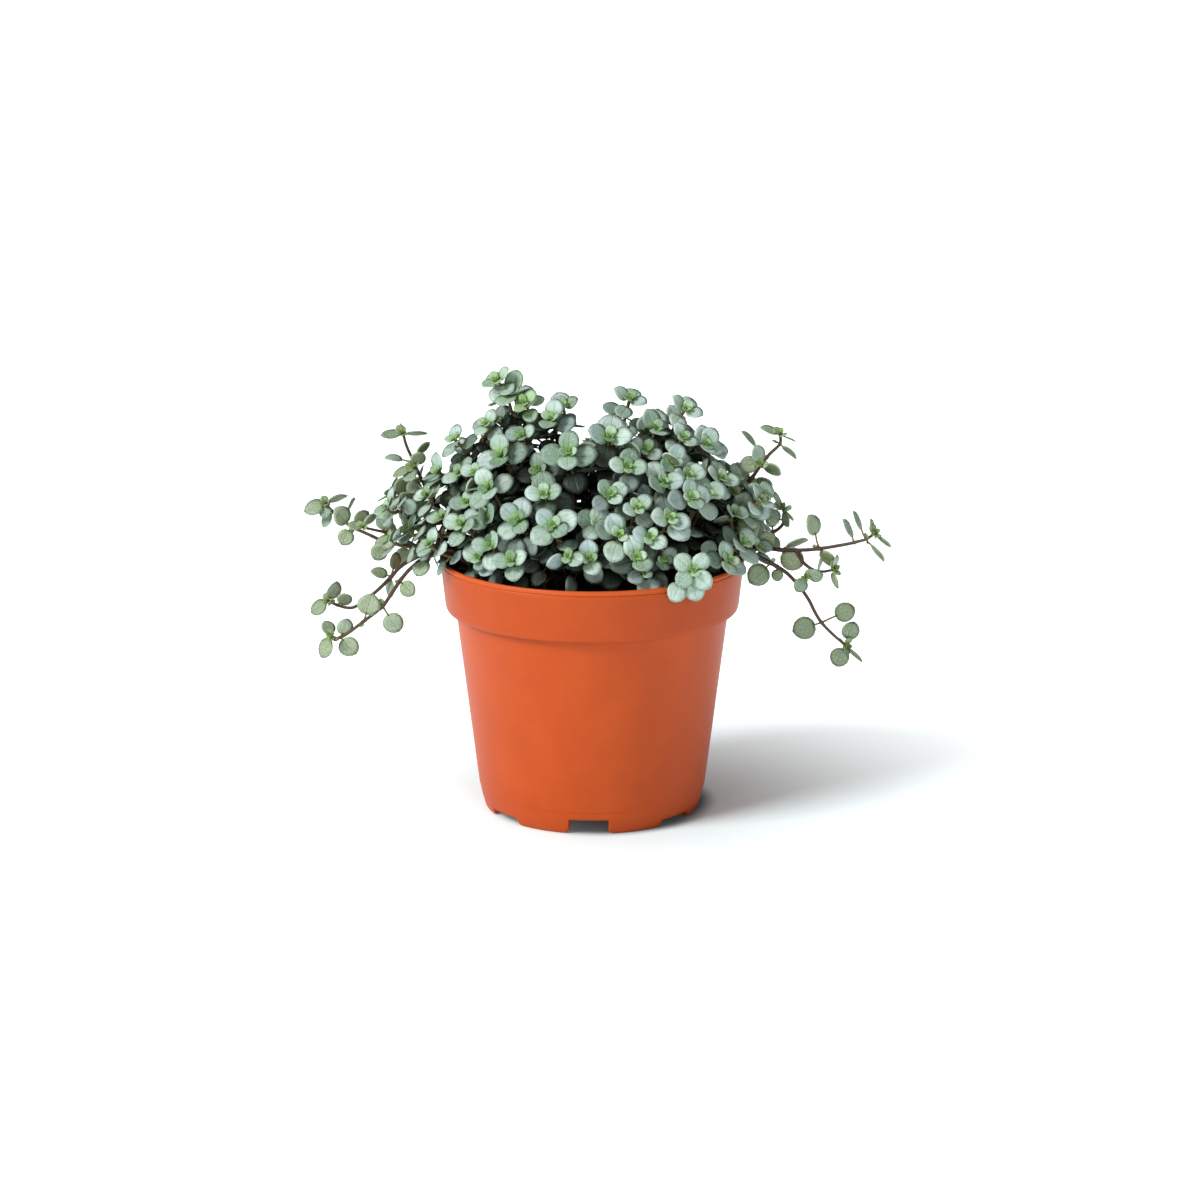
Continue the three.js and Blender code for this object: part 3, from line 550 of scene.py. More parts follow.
chips = Finish("bark and peat grains", specular_ior_level=0.25)
tone = chips.own("tone")
chip_colour = chips.mix(tone.ramp(0, 0.8), light(18, 14, 12), light(58, 42, 31))
chip_colour = chips.mix(tone.ramp(0.9, 0.97), chip_colour, light(104, 76, 50))
chip_material = chips.wear(base_color=chip_colour, roughness=0.7 + chips.noise(0.4) * 0.3)
GRAINS = 1500
grain_sizes = 0.35 + 1.1 * draws.uniform(0, 1, GRAINS) ** 3
grain_places = on_soil(GRAINS, soil_radius - 1.6)
grain_stretch = draws.uniform(0.45, 1.25, (GRAINS, 3))
scattered("soil_grains", grain_places, grain_sizes, grain_stretch, chip_material)

pale = Finish("perlite", specular_ior_level=0.3)
pale_colour = pale.mix(pale.noise(0.5).ramp(0.3, 0.7), light(168, 158, 140), light(214, 206, 190))
perlite_material = pale.wear(base_color=pale_colour, roughness=0.75 + pale.noise(0.2) * 0.2)
PERLITE = np.array([[-38.4, -4.5], [-26, -42.5], [19, 38], [-22, 35], [33, 21], [-31, 16], [6, 43]])
PERLITE_SIZE = 1.1
PERLITE_ROUND = 0.9
PERLITE_UP = 0.5
perlite_level = soil_top(np.hypot(*PERLITE.T), np.arctan2(PERLITE[:, 1], PERLITE[:, 0])) + PERLITE_UP
perlite_places = np.column_stack([PERLITE, perlite_level])
perlite_sizes = np.full(len(PERLITE), PERLITE_SIZE)
perlite_shapes = np.full((len(PERLITE), 3), PERLITE_ROUND)
scattered("perlite", perlite_places, perlite_sizes, perlite_shapes, perlite_material)

# ---- Plant litter ----
# A curled dry leaf near the front lip and a long faded leaf at the left, shed by the plant and lying on the
# mix. Each is a thin strip along a line, curled across its width.

STRIP_ROWS = 24
STRIP_COLUMNS = 9
LITTER_THICK = 0.22


def dry_strip(name, start, end, width, arch, curl, colour_low, colour_high):
    """A strip from start to end, in millimetres: at the share s of its length it is width sin(pi s)^0.7 wide
    and arch sin(pi s) higher, its edges are lifted by curl times the square of how far out they are, and
    a low wave runs over it. Its lower side lies one thickness below."""
    s, v = np.meshgrid(np.linspace(0.02, 0.98, STRIP_ROWS), np.linspace(-1, 1, STRIP_COLUMNS), indexing="ij")
    start, end = np.array(start, float), np.array(end, float)
    upwards = np.array([0, 0, 1.0])
    aside = np.cross(upwards, (end - start) / np.linalg.norm(end - start))
    aside /= np.linalg.norm(aside)
    rise = np.sin(math.pi * s)
    lift = (arch + curl * v**2) * rise + 0.15 * np.sin(9 * s + 3 * v)
    sheet = start + (end - start) * s[..., None] + aside * (width / 2 * rise**0.7 * v)[..., None]
    sheet = sheet + upwards * lift[..., None]
    loop = np.concatenate([sheet, sheet[:, ::-1] - LITTER_THICK * upwards], 1)
    rows, columns = loop.shape[:2]
    k, row = np.arange(columns), np.arange(rows - 1)[:, None] * columns
    after = (k + 1) % columns
    quads = np.stack([row + k, row + columns + k, row + columns + after, row + after], -1).reshape(-1, 4)
    caps = np.stack([k, (rows - 1) * columns + k[::-1]])
    dry = Finish(name + " surface", specular_ior_level=0.25)
    colour = dry.mix(dry.noise(1.5, 4).ramp(0.3, 0.7), light(*colour_low), light(*colour_high))
    material = dry.wear(base_color=colour, roughness=0.7 + dry.noise(0.5) * 0.2)
    piece = fresh_mesh(name, loop.reshape(-1, 3), [(quads, 0), (caps, 0)], [material])
    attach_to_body(piece, "root")


dry_strip("dry_leaf", (-16.5, -19, 83.4), (-8.8, -17.5, 82.6), 3.4, 1.6, 0.9, (120, 96, 62), (196, 174, 128))
dry_strip("faded_leaf", (-45.6, -19, 88.6), (-30.5, -7, 84), 3.2, 0.8, -0.5, (74, 66, 44), (128, 124, 88))

# ---- Leafy stems ----
# The plant: wiry dark stems that stand in the soil, each with opposite pairs of small round leaves, every
# pair turned a quarter from the last, and a rosette with a lime-green heart at each tip.

# Stems that arch or trail out of the crown, listed one by one. Each stem is a list of shoots. A shoot has its
# path, whose first entry may be one number, the place along the first shoot's path where it branches off,
# and its leaves: place along the path, angle seen from the front (0 right, 90 up), blade length, petiole
# length, turn of the blade about its own length (0 faces the front, 90 edge-on) and lean away from the front.
ARCHING = [
  # lower left trailer
  [[
    [[-38, -15], [-46.5, -14, 94.5], [-52.5, -12, 92.5], [-60, -11, 88.5], [-64.5, -11, 84], [-69, -11, 77],
      [-72, -11, 72.5], [-78, -10, 68], [-83.5, -10, 63.5], [-87, -10, 61.5], [-89.5, -10, 62]],
    [[2.6, 235, 6.6, 1, 35, -20], [4.4, -42, 5.9, 0.9, 10, -15], [6, -58, 7.4, 3.2, 0, 0],
      [7.2, 72, 7.8, 2.6, 0, -8], [9, -48, 7.2, 0.8, 0, 0], [9, 66, 6, 1.1, 15, 0],
      [10, 240, 7.2, 0.8, 50, 0], [10, 118, 5.2, 1.2, 40, 25]],
  ]],
  # upper left trailer
  [[
    [[-40, -3], [-48.5, -4, 94], [-55.5, -3, 90.6], [-61, -2, 88], [-66, -1, 85], [-69.5, 0, 80.5],
      [-75.5, 1, 74.5], [-82, 2, 69.4], [-85, 2, 69.2], [-89, 2, 70.5], [-91.5, 2, 72]],
    [[5, -98, 7, 1, 60, 10], [5, 165, 6, 1.4, 65, 0], [5, 78, 6.2, 2.4, 50, 15], [9, 38, 5.4, 0.9, 20, -10],
      [10, 66, 6.6, 0.9, 45, 0], [10, 214, 6.6, 0.9, 50, 0]],
  ]],
  # far left arch with a side branch
  [[
    [[-41, 6], [-49, 5, 92], [-56, 6, 90], [-68.5, 8, 90.5], [-72, 9, 91], [-79, 11, 94], [-83.5, 12, 95.5],
      [-87, 13, 98.5], [-90.5, 14, 101], [-92.5, 14, 104]],
    [[2.8, -110, 5.8, 1, 10, -10], [4, -122, 6, 1.2, 8, -10], [4, 62, 6.2, 1.4, 40, 30],
      [6.4, 124, 7, 1.1, 35, -15], [6.2, -118, 5.8, 1.3, 8, -10], [6.2, 38, 6.4, 1.5, 30, 20],
      [7, 60, 6, 3.6, 80, 40], [8, 234, 5.6, 0.9, 55, 0], [9, 197, 7.3, 0.9, 55, 0],
      [9, 26, 7, 0.9, 60, 0], [9, -96, 4.8, 0.8, 20, -35]],
  ], [
    [2.4, [-68.5, 3, 95.5], [-74, 1, 97], [-79, 0, 98.5]],
    [[3, 50, 5.6, 1, 55, 0], [3, 170, 5, 0.8, 60, 0], [1.7, 88, 6.4, 1, 10, -10],
      [1.7, -70, 5.4, 1, 20, -20]],
  ]],
  # upper left arch with a side rosette
  [[
    [[-36, 10], [-46, 9, 96], [-51.5, 8, 101], [-54, 8, 105.5], [-56.5, 8, 108.5], [-59, 8, 114],
      [-62, 8, 121], [-64, 8, 125.5], [-65, 8, 130]],
    [[3, 186, 6.6, 3.6, 25, -10], [3, 10, 6.2, 1.2, 55, 20], [5, 222, 5.6, 1.2, 30, -25],
      [5, 28, 6.6, 1.4, 60, 15], [6, 170, 6.3, 3.7, 78, 0], [6, 52, 5.8, 3, 55, 0],
      [8, 184, 6.8, 0.9, 72, 0], [8, 2, 7.6, 0.9, 66, 0], [8, 100, 5, 0.8, 70, 70]],
  ], [
    [5.2, [-60.5, 4, 117.5], [-61.5, 2, 119.5]],
    [[2, 58, 5.4, 1, 20, -15], [2, 206, 6.6, 1.1, 72, 0], [2, 250, 5.8, 1, 40, -50]],
  ]],
  # long right arch with a side branch
  [[
    [[40, -2], [49.5, -5, 92.5], [58.5, -8, 93], [64.5, -10, 92.8], [72.5, -12, 93.2], [77.5, -13, 94],
      [82, -14, 95], [87.5, -16, 96.5], [90.5, -17, 97.6], [93, -18, 98.5], [95.5, -19, 101]],
    [[3, -34, 8.3, 1.4, 0, -12], [3, 14, 8.4, 2.4, 60, 20], [2.4, 96, 5.6, 1.1, 5, -12],
      [5.1, 106, 7.4, 4.9, 45, 0], [5.1, -52, 7.4, 1, 50, 0], [7.6, 116, 7.2, 1.8, 75, 0],
      [9, 115, 7, 3.7, 75, 0], [9, -50, 7.4, 2.3, 72, 0], [10, -40, 6.6, 0.9, 72, 0],
      [9.9, 100, 4.6, 0.8, 70, 0]],
  ], [
    [3.6, [72, -13.5, 88.5], [77, -15, 86], [82.5, -16, 87.5]],
    [[3, -75, 6, 0.9, 70, 0], [3, 72, 4.6, 0.8, 60, 0], [2.1, 84, 4.8, 1.2, 70, -30]],
  ]],
  # lower right trailer with a small side rosette
  [[
    [[38, -19], [48, -17.5, 94], [56, -17, 92.6], [61.5, -17, 89.4], [65.5, -17, 87], [68.5, -17, 84],
      [73.5, -16, 77.5], [76, -16, 72], [78.5, -15, 68], [82.5, -15, 64], [87, -14, 60]],
    [[3, 222, 7.9, 1.9, 0, -10], [3.4, -84, 4.2, 1, 10, -10], [8, 198, 8, 2.2, 0, 0], [8, 25, 7.3, 5.1, 3, 0],
      [10, 68, 6.5, 2, 12, 0], [10, 250, 6.8, 1.5, 10, 0], [10, -45, 7.4, 1.2, 70, 0]],
  ], [
    [5, [71.5, -19.5, 85], [72.5, -22, 86.2]],
    [[2, 232, 5, 0.8, 5, -15], [2, 15, 5, 0.8, 10, -15]],
  ]],
  # upper right arch with a side rosette
  [[
    [[35, 4], [45, 3, 100], [51.5, 4, 109.5], [55, 6, 114.5], [57.5, 7, 118], [60.5, 8, 122], [63, 9, 124],
      [65, 9, 126], [64.5, 9, 129.5]],
    [[2, -8, 6.4, 1.4, 40, 0], [3.2, -24, 6.6, 1.2, 50, 10], [3.2, 172, 6, 1.2, 40, 20],
      [5, 133, 7.2, 5.4, 80, 0], [7, -40, 6.6, 1.2, 65, 0], [8, 158, 6.4, 0.9, 74, 0],
      [8, -22, 5.2, 0.8, 75, 0]],
  ], [
    [4, [57.5, 3, 119], [57.5, 0.5, 120.5]],
    [[2, 104, 6, 0.9, 40, 0], [2, 178, 6.2, 1, 20, -10], [2, -22, 6.8, 1, 45, -10]],
  ]],
  # front right stem that leans out over the rim
  [[
    [[24, -33], [28.5, -39, 91.5], [31.5, -44, 93.6], [33.5, -47, 95]],
    [[3, 140, 6.6, 1, 10, -5], [3, 48, 6.4, 1, 10, -5], [3, 225, 6.2, 1, 5, -10], [3, -45, 7, 1.2, 10, -10],
      [2.4, -73, 6.6, 3.6, 5, -12], [2, -118, 6.8, 4.4, 0, -32]],
  ]],
  # short upright shoot at the right, behind the long arch
  [[
    [[41, 9], [51, 7.5, 93], [60, 6, 94], [65.5, 5.5, 97], [66.5, 5, 101], [65.5, 4, 104.5]],
    [[5, 122, 6.2, 0.9, 76, 0], [5, -52, 5.2, 0.9, 72, 20], [5, -70, 5.8, 1, 60, -35],
      [3.8, 160, 6, 1.4, 10, -15],
      [2.6, 100, 5.4, 1.6, 40, 15], [2.6, -80, 5.4, 1.2, 40, 0]],
  ]],
]

# The crown: each clump of stems is a list of tips, x, y, z and the blade length of its rosette. The first
# tip is the main stem's, and the others are side shoots of it.
CROWN = [
  [[-63, -10, 100, 7.2], [-57, -8, 105, 6]],
  [[-55, -23, 98, 6.4]],
  [[-70, 0, 107, 6.6], [-58, -1, 103, 5.6]],
  [[-28, 2, 145.5, 8.4], [-23, -4, 143, 5.4], [-32.5, 3, 149.5, 6.2]],
  [[-14, -6, 138, 7], [-10, 1, 141, 6.2]],
  [[-47, -3, 130, 6.6], [-45, -10, 120, 7]],
  [[-31, -18, 128, 8], [-24, -12, 133, 6]],
  [[-8, -24, 130, 8.2]],
  [[-18, -20, 123, 6.4], [-16, -34, 118, 7]],
  [[-35, -28, 119, 7.4]],
  [[-25, -37, 110, 7], [-27, -42, 97, 6.6]],
  [[-13, -42, 109, 7.2], [-8, -44, 99, 6.4]],
  [[-44, -31, 107, 6.6], [-42, -20, 112, 6.6]],
  [[-18, -36, 98, 6.2], [-34, -36, 101, 7]],
  [[-38, -33, 96, 6.6]],
  [[13, 4, 143, 6.8]],
  [[32, 0, 140, 6.8], [31, -9, 132, 5.6]],
  [[22, -5, 134, 8]],
  [[6, -18, 134, 8.6]],
  [[12, -28, 126, 6.8], [6, -35, 118, 6]],
  [[44, -13, 119, 6.8], [48, -7, 113, 6.4]],
  [[24, -29, 121, 7.4], [33, -35, 117, 6.6]],
  [[39, -25, 116, 7.6]],
  [[15, -37, 114, 6.2], [15, -45, 99, 8]],
  [[26, -39, 111, 7.6], [24, -41, 97, 5.6]],
  [[9, -43, 106, 8]],
  [[2, -37, 108, 7], [-1, -43, 98, 7]],
  [[51, -24, 99, 7], [46, -33, 95, 6.6]],
  [[59, -3, 111, 6.6], [49, -3, 117, 6]],
]

# The back of the crown, away from the side seen first, is filled by a rule: tips on a dome, a golden turn
# apart, each with a side shoot a little lower and further round.
BACK_STEMS = 11
BACK_FROM = 12
BACK_TO = 176
BACK_NEAR = 18
BACK_FAR = 48.5
DOME_TOP = 131
DOME_FALL = 0.009
MAIN_BLADE = 6.7
GOLDEN_SHARE = 0.618034
SIDE_SWING = [10, 18]
SIDE_REACH = 0.8
SIDE_DROP = [7, 11]
HEIGHT_SPREAD = 6
BACK_BLADE = [6.2, 7.8]

ROOT_PULL = 0.62
ROOT_LIMIT = 43
ROOT_DEPTH = 8
ABOVE_SOIL = 2
THREE_PAIRS_TO = 10
SIDE_SHOOT_AT = 1.15
BEND_AT = 0.42
BEND_RISE = 0.1
NECK_SHARE = 0.24
FACING_OUT = 0.017
FACING_NEAR = 0.014
FACING_FAR = 0.034
FACING_FRONT = 0.85
FACING_SIDE = 0.025
FACING_SIDE_FROM = 34
NODE_STEP = 0.15


def unit(vectors):
    """The same directions with a length of 1."""
    return vectors / np.linalg.norm(vectors, axis=-1, keepdims=True)


def draws_from(seed):
    """Repeatable draws from 0 to 1: each state is 1664525 times the last and 1013904223 more, in 32 bits."""
    state = seed * 2654435761 % 2**32
    while True:
        state = (1664525 * state + 1013904223) % 2**32
        yield state / 2**32


def between(limits, share):
    """The value a share of the way from the first limit to the second."""
    return limits[0] + (limits[1] - limits[0]) * share


def on_stem(points, t):
    """A place on a stem's straight pieces, where whole numbers are its points."""
    t = np.asarray(t, float)
    i = np.minimum(t.astype(int), len(points) - 2)
    return points[i] + (points[i + 1] - points[i]) * (t - i)[..., None]


def heading_at(points, t):
    """The direction of a stem's straight piece at a place on it."""
    i = min(int(t), len(points) - 2)
    return unit(points[i + 1] - points[i])


def grown(points, t):
    """The same place on the stem as it grows: straight at its two ends, and elsewhere the quadratic curve
    from the middle of one piece to the middle of the next, bent towards the point between them."""
    t = np.clip(np.asarray(t, float), 0, len(points) - 1)
    i = np.clip(np.floor(t + 0.5).astype(int), 1, max(1, len(points) - 2))
    s = (t - i + 0.5)[..., None]
    if len(points) < 3:
        return on_stem(points, t)
    start, end = (points[i - 1] + points[i]) / 2, (points[i] + points[i + 1]) / 2
    curve = (1 - s) ** 2 * start + 2 * s * (1 - s) * points[i] + s**2 * end
    straight = (t < 0.5) | (t > len(points) - 1.5)
    return np.where(straight[..., None], on_stem(points, t), curve)


def turned_about(vector, axis, angle):
    """A vector turned about an axis at right angles to it."""
    return vector * math.cos(angle) + np.cross(axis, vector) * math.sin(angle)


def crown_facing(tips):
    """The lean of a rosette: up, outwards, and towards the front."""
    x, y = tips[..., 0], tips[..., 1]
    front = FACING_FRONT - FACING_SIDE * np.clip(np.abs(x) - FACING_SIDE_FROM, 0, 30)
    forwards = np.where(y < 0, FACING_NEAR, FACING_FAR) * y - front
    return unit(np.stack([FACING_OUT * x, forwards, np.ones_like(x)], -1))


def shoot_path(start, tip):
    """The four points of a shoot that rises from its start and leans into its rosette's facing."""
    reach = np.linalg.norm(tip - start)
    middle = start + (tip - start) * BEND_AT + [0, 0, BEND_RISE * reach]
    return np.array([start, middle, tip - crown_facing(tip) * NECK_SHARE * reach, tip])


def crown_stem(tips):
    """A stem of the crown. Its main shoot leaves the soil under its tip, pulled towards the middle, and the
    other shoots branch off the main one. A large main rosette that isn't at the back has three pairs, the
    others have two."""
    x, y = tips[0][:2]
    pull = min(ROOT_PULL, ROOT_LIMIT / math.hypot(x, y))
    start = np.array([pull * x, pull * y, SOIL_LEVEL + ABOVE_SOIL])
    shoots = []
    for i, (*tip, blade) in enumerate(tips):
        if i == 1:
            start = on_stem(shoots[0]["path"], SIDE_SHOOT_AT)
        pairs = 3 if i == 0 and tip[1] < THREE_PAIRS_TO and blade >= MAIN_BLADE else 2
        shoots.append({"path": shoot_path(start, np.array(tip, float)), "blade": blade, "pairs": pairs})
        shoots[-1]["from"] = SIDE_SHOOT_AT if i else None
    return shoots


def arching_stem(entry):
    """A listed stem, from its shoots in the table."""
    shoots = []
    for path, leaves in entry:
        branches = isinstance(path[0], (int, float))
        start = on_stem(shoots[0]["path"], path[0]) if branches else [*path[0], SOIL_LEVEL + ABOVE_SOIL]
        shoots.append({"path": np.array([start, *path[1:]], float), "leaves": leaves})
        shoots[-1]["from"] = path[0] if branches else None
    return shoots


def back_tips():
    """The clumps at the back. Their turns step through the back by the golden share, their reach grows with
    the square root of their number so that the dome fills evenly, and their height falls with the square
    of their reach."""
    draw = draws_from(5)
    stems = []
    for k in range(BACK_STEMS):
        turn = math.radians(BACK_FROM + (BACK_TO - BACK_FROM) * (k * GOLDEN_SHARE % 1))
        reach = BACK_NEAR + (BACK_FAR - BACK_NEAR) * math.sqrt((k + 0.5) / BACK_STEMS)
        tips = []
        for swing, far in ((0, reach), (between(SIDE_SWING, next(draw)), SIDE_REACH * reach)):
            at = turn + math.radians(swing * (1 if k % 2 else -1))
            low = 0 if far == reach else between(SIDE_DROP, next(draw))
            height = DOME_TOP - DOME_FALL * far * far - low + HEIGHT_SPREAD * (next(draw) - 0.5)
            tips.append([far * math.cos(at), far * math.sin(at), height, between(BACK_BLADE, next(draw))])
        stems.append(tips)
    return stems


stems = [*map(arching_stem, ARCHING), *map(crown_stem, CROWN), *map(crown_stem, back_tips())]

# Leaves are placed one after another, each clear of the pot, of other stems and of the leaves before it. A
# leaf that finds no room is turned, raised, lowered or made smaller, and where nothing helps it is left out.
# A pair of leaves is given as its length of stem below the tip, its rise above square to the stem, its size
# as a share of the rosette's blade and its petiole. Ages run from 0, folded, over 1, grown, to 2, old.
PAIRS = [(1, 26, 0.9, 0.7), (3.4, 10, 1.04, 1.3), (9.5, 0, 1, 2.3)]
PAIR_AGES = (0.85, 1.0, 1.3)
TURNS = [0, 22, -22, 44, -44, 66, -66]
RISES = [0, 22, -18]
SHRINKS = [1, 0.84]
AZIMUTH_SPREAD = 24
RISE_SPREAD = 14
LENGTH_SPREAD = 0.12
LEAST_PLACE = 0.6
ASIDE_FROM = np.array([0.2, 0.9, 0.3])
LOWER_LEAN = [0, -0.2, 0.6]
CLEAR_OF_POT = 0.9
CLEAR_OF_RIM = 0.8
ROOMY = {"others": 1.02, "own": 0.74, "stems": 1.25, "petiole": 1.4}
CLOSE = {"others": 0.6, "own": 0.42, "stems": 0.85, "petiole": 0.9}
MOST_LEAVES = 4200
STALK_PROBES = 6
STEM_PROBES = 8
HALF_RING = np.stack([np.cos(TURN * np.arange(6) / 6), np.sin(TURN * np.arange(6) / 6)], -1) * 0.5
FULL_RING = np.stack([np.cos(TURN * np.arange(12) / 12), np.sin(TURN * np.arange(12) / 12)], -1)
PROBES = np.concatenate([[[0, 0]], HALF_RING, FULL_RING])


def probes_along(path):
    """Points on a stem's straight pieces, eight to a piece."""
    return on_stem(path, np.arange(STEM_PROBES * (len(path) - 1) + 1) / STEM_PROBES)


leaf_count = 0
leaf_frames = np.zeros((MOST_LEAVES, 3, 3))
leaf_sizes = np.zeros((MOST_LEAVES, 2))
leaf_centres = np.zeros((MOST_LEAVES, 3))
leaf_probes = np.full((MOST_LEAVES, len(PROBES) + STALK_PROBES, 3), np.nan)
leaf_places = np.zeros((MOST_LEAVES, 3))
leaf_ages = np.ones(MOST_LEAVES)
probed = [(i, probes_along(shoot["path"])) for i, stem in enumerate(stems) for shoot in stem]
stem_probes = np.concatenate([probes for _, probes in probed])
stem_owners = np.concatenate([np.full(len(probes), i) for i, probes in probed])


def hits_pot(points):
    """Whether any point comes too near the soil or the pot's wall, whose body and collar are two cones."""
    height = points[:, 2]
    reach = np.hypot(points[:, 0], points[:, 1])
    up_collar = (height - COLLAR_FOOT) / (POT_HEIGHT - COLLAR_FOOT)
    collar = COLLAR_RADIUS + up_collar * (RIM_RADIUS - COLLAR_RADIUS)
    body = FOOT_RADIUS + height / COLLAR_FOOT * (NECK_RADIUS - FOOT_RADIUS)
    wall = np.where(height > COLLAR_FOOT, collar, body)
    in_wall = (reach > wall - WALL - CLEAR_OF_POT) & (reach < wall + CLEAR_OF_POT)
    in_soil = (height < SOIL_LEVEL + SOIL_MOUND + CLEAR_OF_POT) & (reach < wall)
    return (in_wall & (height < POT_HEIGHT + CLEAR_OF_RIM) | in_soil).any()


def off_blade(points, centre, face, radius):
    """How far points lie from round flat blades."""
    offset = points - centre
    height = (offset * face).sum(-1)
    reach = np.linalg.norm(offset - face * height[..., None], axis=-1)
    return np.where(reach <= radius, np.abs(height), np.hypot(height, reach - radius))


def probes_of(frame, length, petiole):
    """Points on a blade, its middle and two rings, and then points 1 mm apart along its petiole."""
    attach, outward, face = frame
    centre = attach + outward * (petiole + length / 2)
    blade = centre + length / 2 * (PROBES[:, :1] * outward + PROBES[:, 1:] * np.cross(face, outward))
    stalk = attach + outward * np.arange(1, petiole)[:, None]
    return centre, np.concatenate([blade, stalk])


def blocked(frame, length, petiole, stem, clear):
    """Whether a leaf would touch the pot, or come nearer than its clearances to other leaves or to other
    stems. From leaves of its own stem only its blade is held clear."""
    centre, points = probes_of(frame, length, petiole)
    if hits_pot(points):
        return True
    n = leaf_count
    reach = length / 2 + petiole + leaf_sizes[:n, 0] / 2 + leaf_sizes[:n, 1] + 1
    near = np.flatnonzero(np.linalg.norm(leaf_centres[:n] - centre, axis=1) <= reach)
    blade_end = len(PROBES)
    if len(near):
        own = leaf_places[near, 0] == stem
        faces = leaf_frames[near, 2][:, None]
        gaps = off_blade(points[None], leaf_centres[near, None], faces, leaf_sizes[near, :1] / 2)
        if (gaps[own, :blade_end] < clear["own"]).any() or (gaps[~own] < clear["others"]).any():
            return True
        if (off_blade(leaf_probes[near[~own]], centre, frame[2], length / 2) < clear["others"]).any():
            return True
    off = (stem_owners != stem) & (np.linalg.norm(stem_probes - centre, axis=1) < length + petiole)
    if (off_blade(stem_probes[off], centre, frame[2], length / 2) < clear["stems"]).any():
        return True
    stalk_gaps = np.linalg.norm(points[blade_end:, None] - stem_probes[off], axis=-1)
    return (stalk_gaps < clear["petiole"]).any()


def keep_leaf(frame, length, petiole, stem, shoot, t, age=1.0):
    """Writes a leaf down: its frame, sizes and probes, the shoot and the place that it stands at, its age."""
    global leaf_count
    centre, points = probes_of(frame, length, petiole)
    leaf_frames[leaf_count] = frame
    leaf_sizes[leaf_count] = length, petiole
    leaf_centres[leaf_count] = centre
    leaf_probes[leaf_count, : len(points)] = points[: len(PROBES) + STALK_PROBES]
    leaf_places[leaf_count] = stem, shoot, t
    leaf_ages[leaf_count] = age
    leaf_count += 1


def hand_leaf(path, row):
    """The frame of a leaf in the table, and its length and petiole. The frame is the place where the leaf
    stands, the direction it grows in and the direction its blade faces, kept from facing down."""
    t, angle, length, petiole, turn, lean = row
    angle, lean = math.radians(angle), math.radians(lean)
    flat = math.cos(lean)
    outward = np.array([math.cos(angle) * flat, math.sin(lean), math.sin(angle) * flat])
    face = np.array([0, -1.0, 0])
    face = unit(face - outward * face.dot(outward))
    face = turned_about(face, outward, math.radians(turn))
    if face[2] < -0.3:
        face = -face
    return np.array([on_stem(path, t - NODE_STEP), outward, face]), length, petiole


def place_below(path, below):
    """The place on a path that lies a given length below its tip."""
    step = 0.05
    t = len(path) - 1.0
    walked = 0
    while walked < below and t > step:
        walked += np.linalg.norm(on_stem(path, t) - on_stem(path, t - step))
        t -= step
    return t


def rosette(shoot, stem, number, draw, pairs, ages, allowed, clear, shrinks):
    """Opposite pairs down from the tip, each turned a quarter from the last. Each leaf takes the first size,
    rise and turn that leave it clear."""
    path = shoot["path"]
    start = 360 * next(draw)
    for k, (below, rise, size, petiole) in enumerate(pairs):
        t = place_below(path, below)
        jitter = [next(draw) for _ in range(4)]
        if t < LEAST_PLACE or not allowed[0] <= k < allowed[1]:
            continue
        heading, attach = heading_at(path, t), on_stem(path, t)
        side = unit(np.cross(ASIDE_FROM, heading))
        across = np.cross(heading, side)
        lean = heading if k < 2 else unit(heading + LOWER_LEAN)
        for half in (0, 1):
            for shrink, lift_by, swing in itertools.product(shrinks, RISES, TURNS):
                swing += AZIMUTH_SPREAD * (jitter[half] - 0.5)
                azimuth = math.radians(start + 90 * k + 180 * half + swing)
                out = side * math.cos(azimuth) + across * math.sin(azimuth)
                face = unit(lean - out * lean.dot(out))
                lift = math.radians(rise + RISE_SPREAD * (jitter[2] - 0.5) + lift_by)
                outward = out * math.cos(lift) + face * math.sin(lift)
                face = face * math.cos(lift) - out * math.sin(lift)
                length = shoot["blade"] * size * shrink * (1 + LENGTH_SPREAD * (jitter[3] - 0.5))
                leaf = np.array([attach, outward, face]), length, petiole
                if not blocked(*leaf, stem, clear):
                    keep_leaf(*leaf, stem, number, t, ages[k])
                    break
    return start


for i, stem in enumerate(stems):
    for number, shoot in enumerate(stem):
        for row in shoot.get("leaves", []):
            keep_leaf(*hand_leaf(shoot["path"], row), i, number, row[0] - NODE_STEP)
for i, stem in enumerate(stems):
    draw = draws_from(101 + i)
    for number, shoot in enumerate(stem):
        if "blade" in shoot:
            upper_pairs = (0, shoot["pairs"])
            shoot["start"] = rosette(
                shoot, i, number, draw, PAIRS, PAIR_AGES, upper_pairs, ROOMY, SHRINKS
            )

# Finer growth, too small or too close for the solids: more side shoots where the crown has room, older pairs
# further down every shoot, and the young lime-green leaves that fold over each tip.
FILL_SHOOTS = 165
FILL_FROM = (0.4, 2.0)
FILL_STARTS = 7
FILL_BLADES = (5.6, 7.8)
FILL_GAP = 3.8
FILL_APART = 3
FILL_REACH = 44
FILL_RISE = 6
OLDER_PAIRS = [(16.5, -8, 0.98, 2.8), (24, -14, 0.95, 3.0), (32, -18, 0.9, 3.0), (41, -20, 0.85, 3.0)]
FINE_PAIRS = [*PAIRS, *OLDER_PAIRS]
FINE_AGES = (1, 1, 1, 1.5, 1.7, 1.9, 1.9)
FILL_PAIRS = [
    (1, 26, 0.88, 0.6),
    (3.2, 10, 1.03, 1.1),
    (8.5, 0, 1, 2.0),
    (15, -10, 0.95, 2.6),
    (23, -14, 0.9, 2.6),
]
FILL_AGES = (0.85, 1.0, 1.3, 1.6, 1.9)
FINE_SHRINKS = [1, 0.86, 0.72]

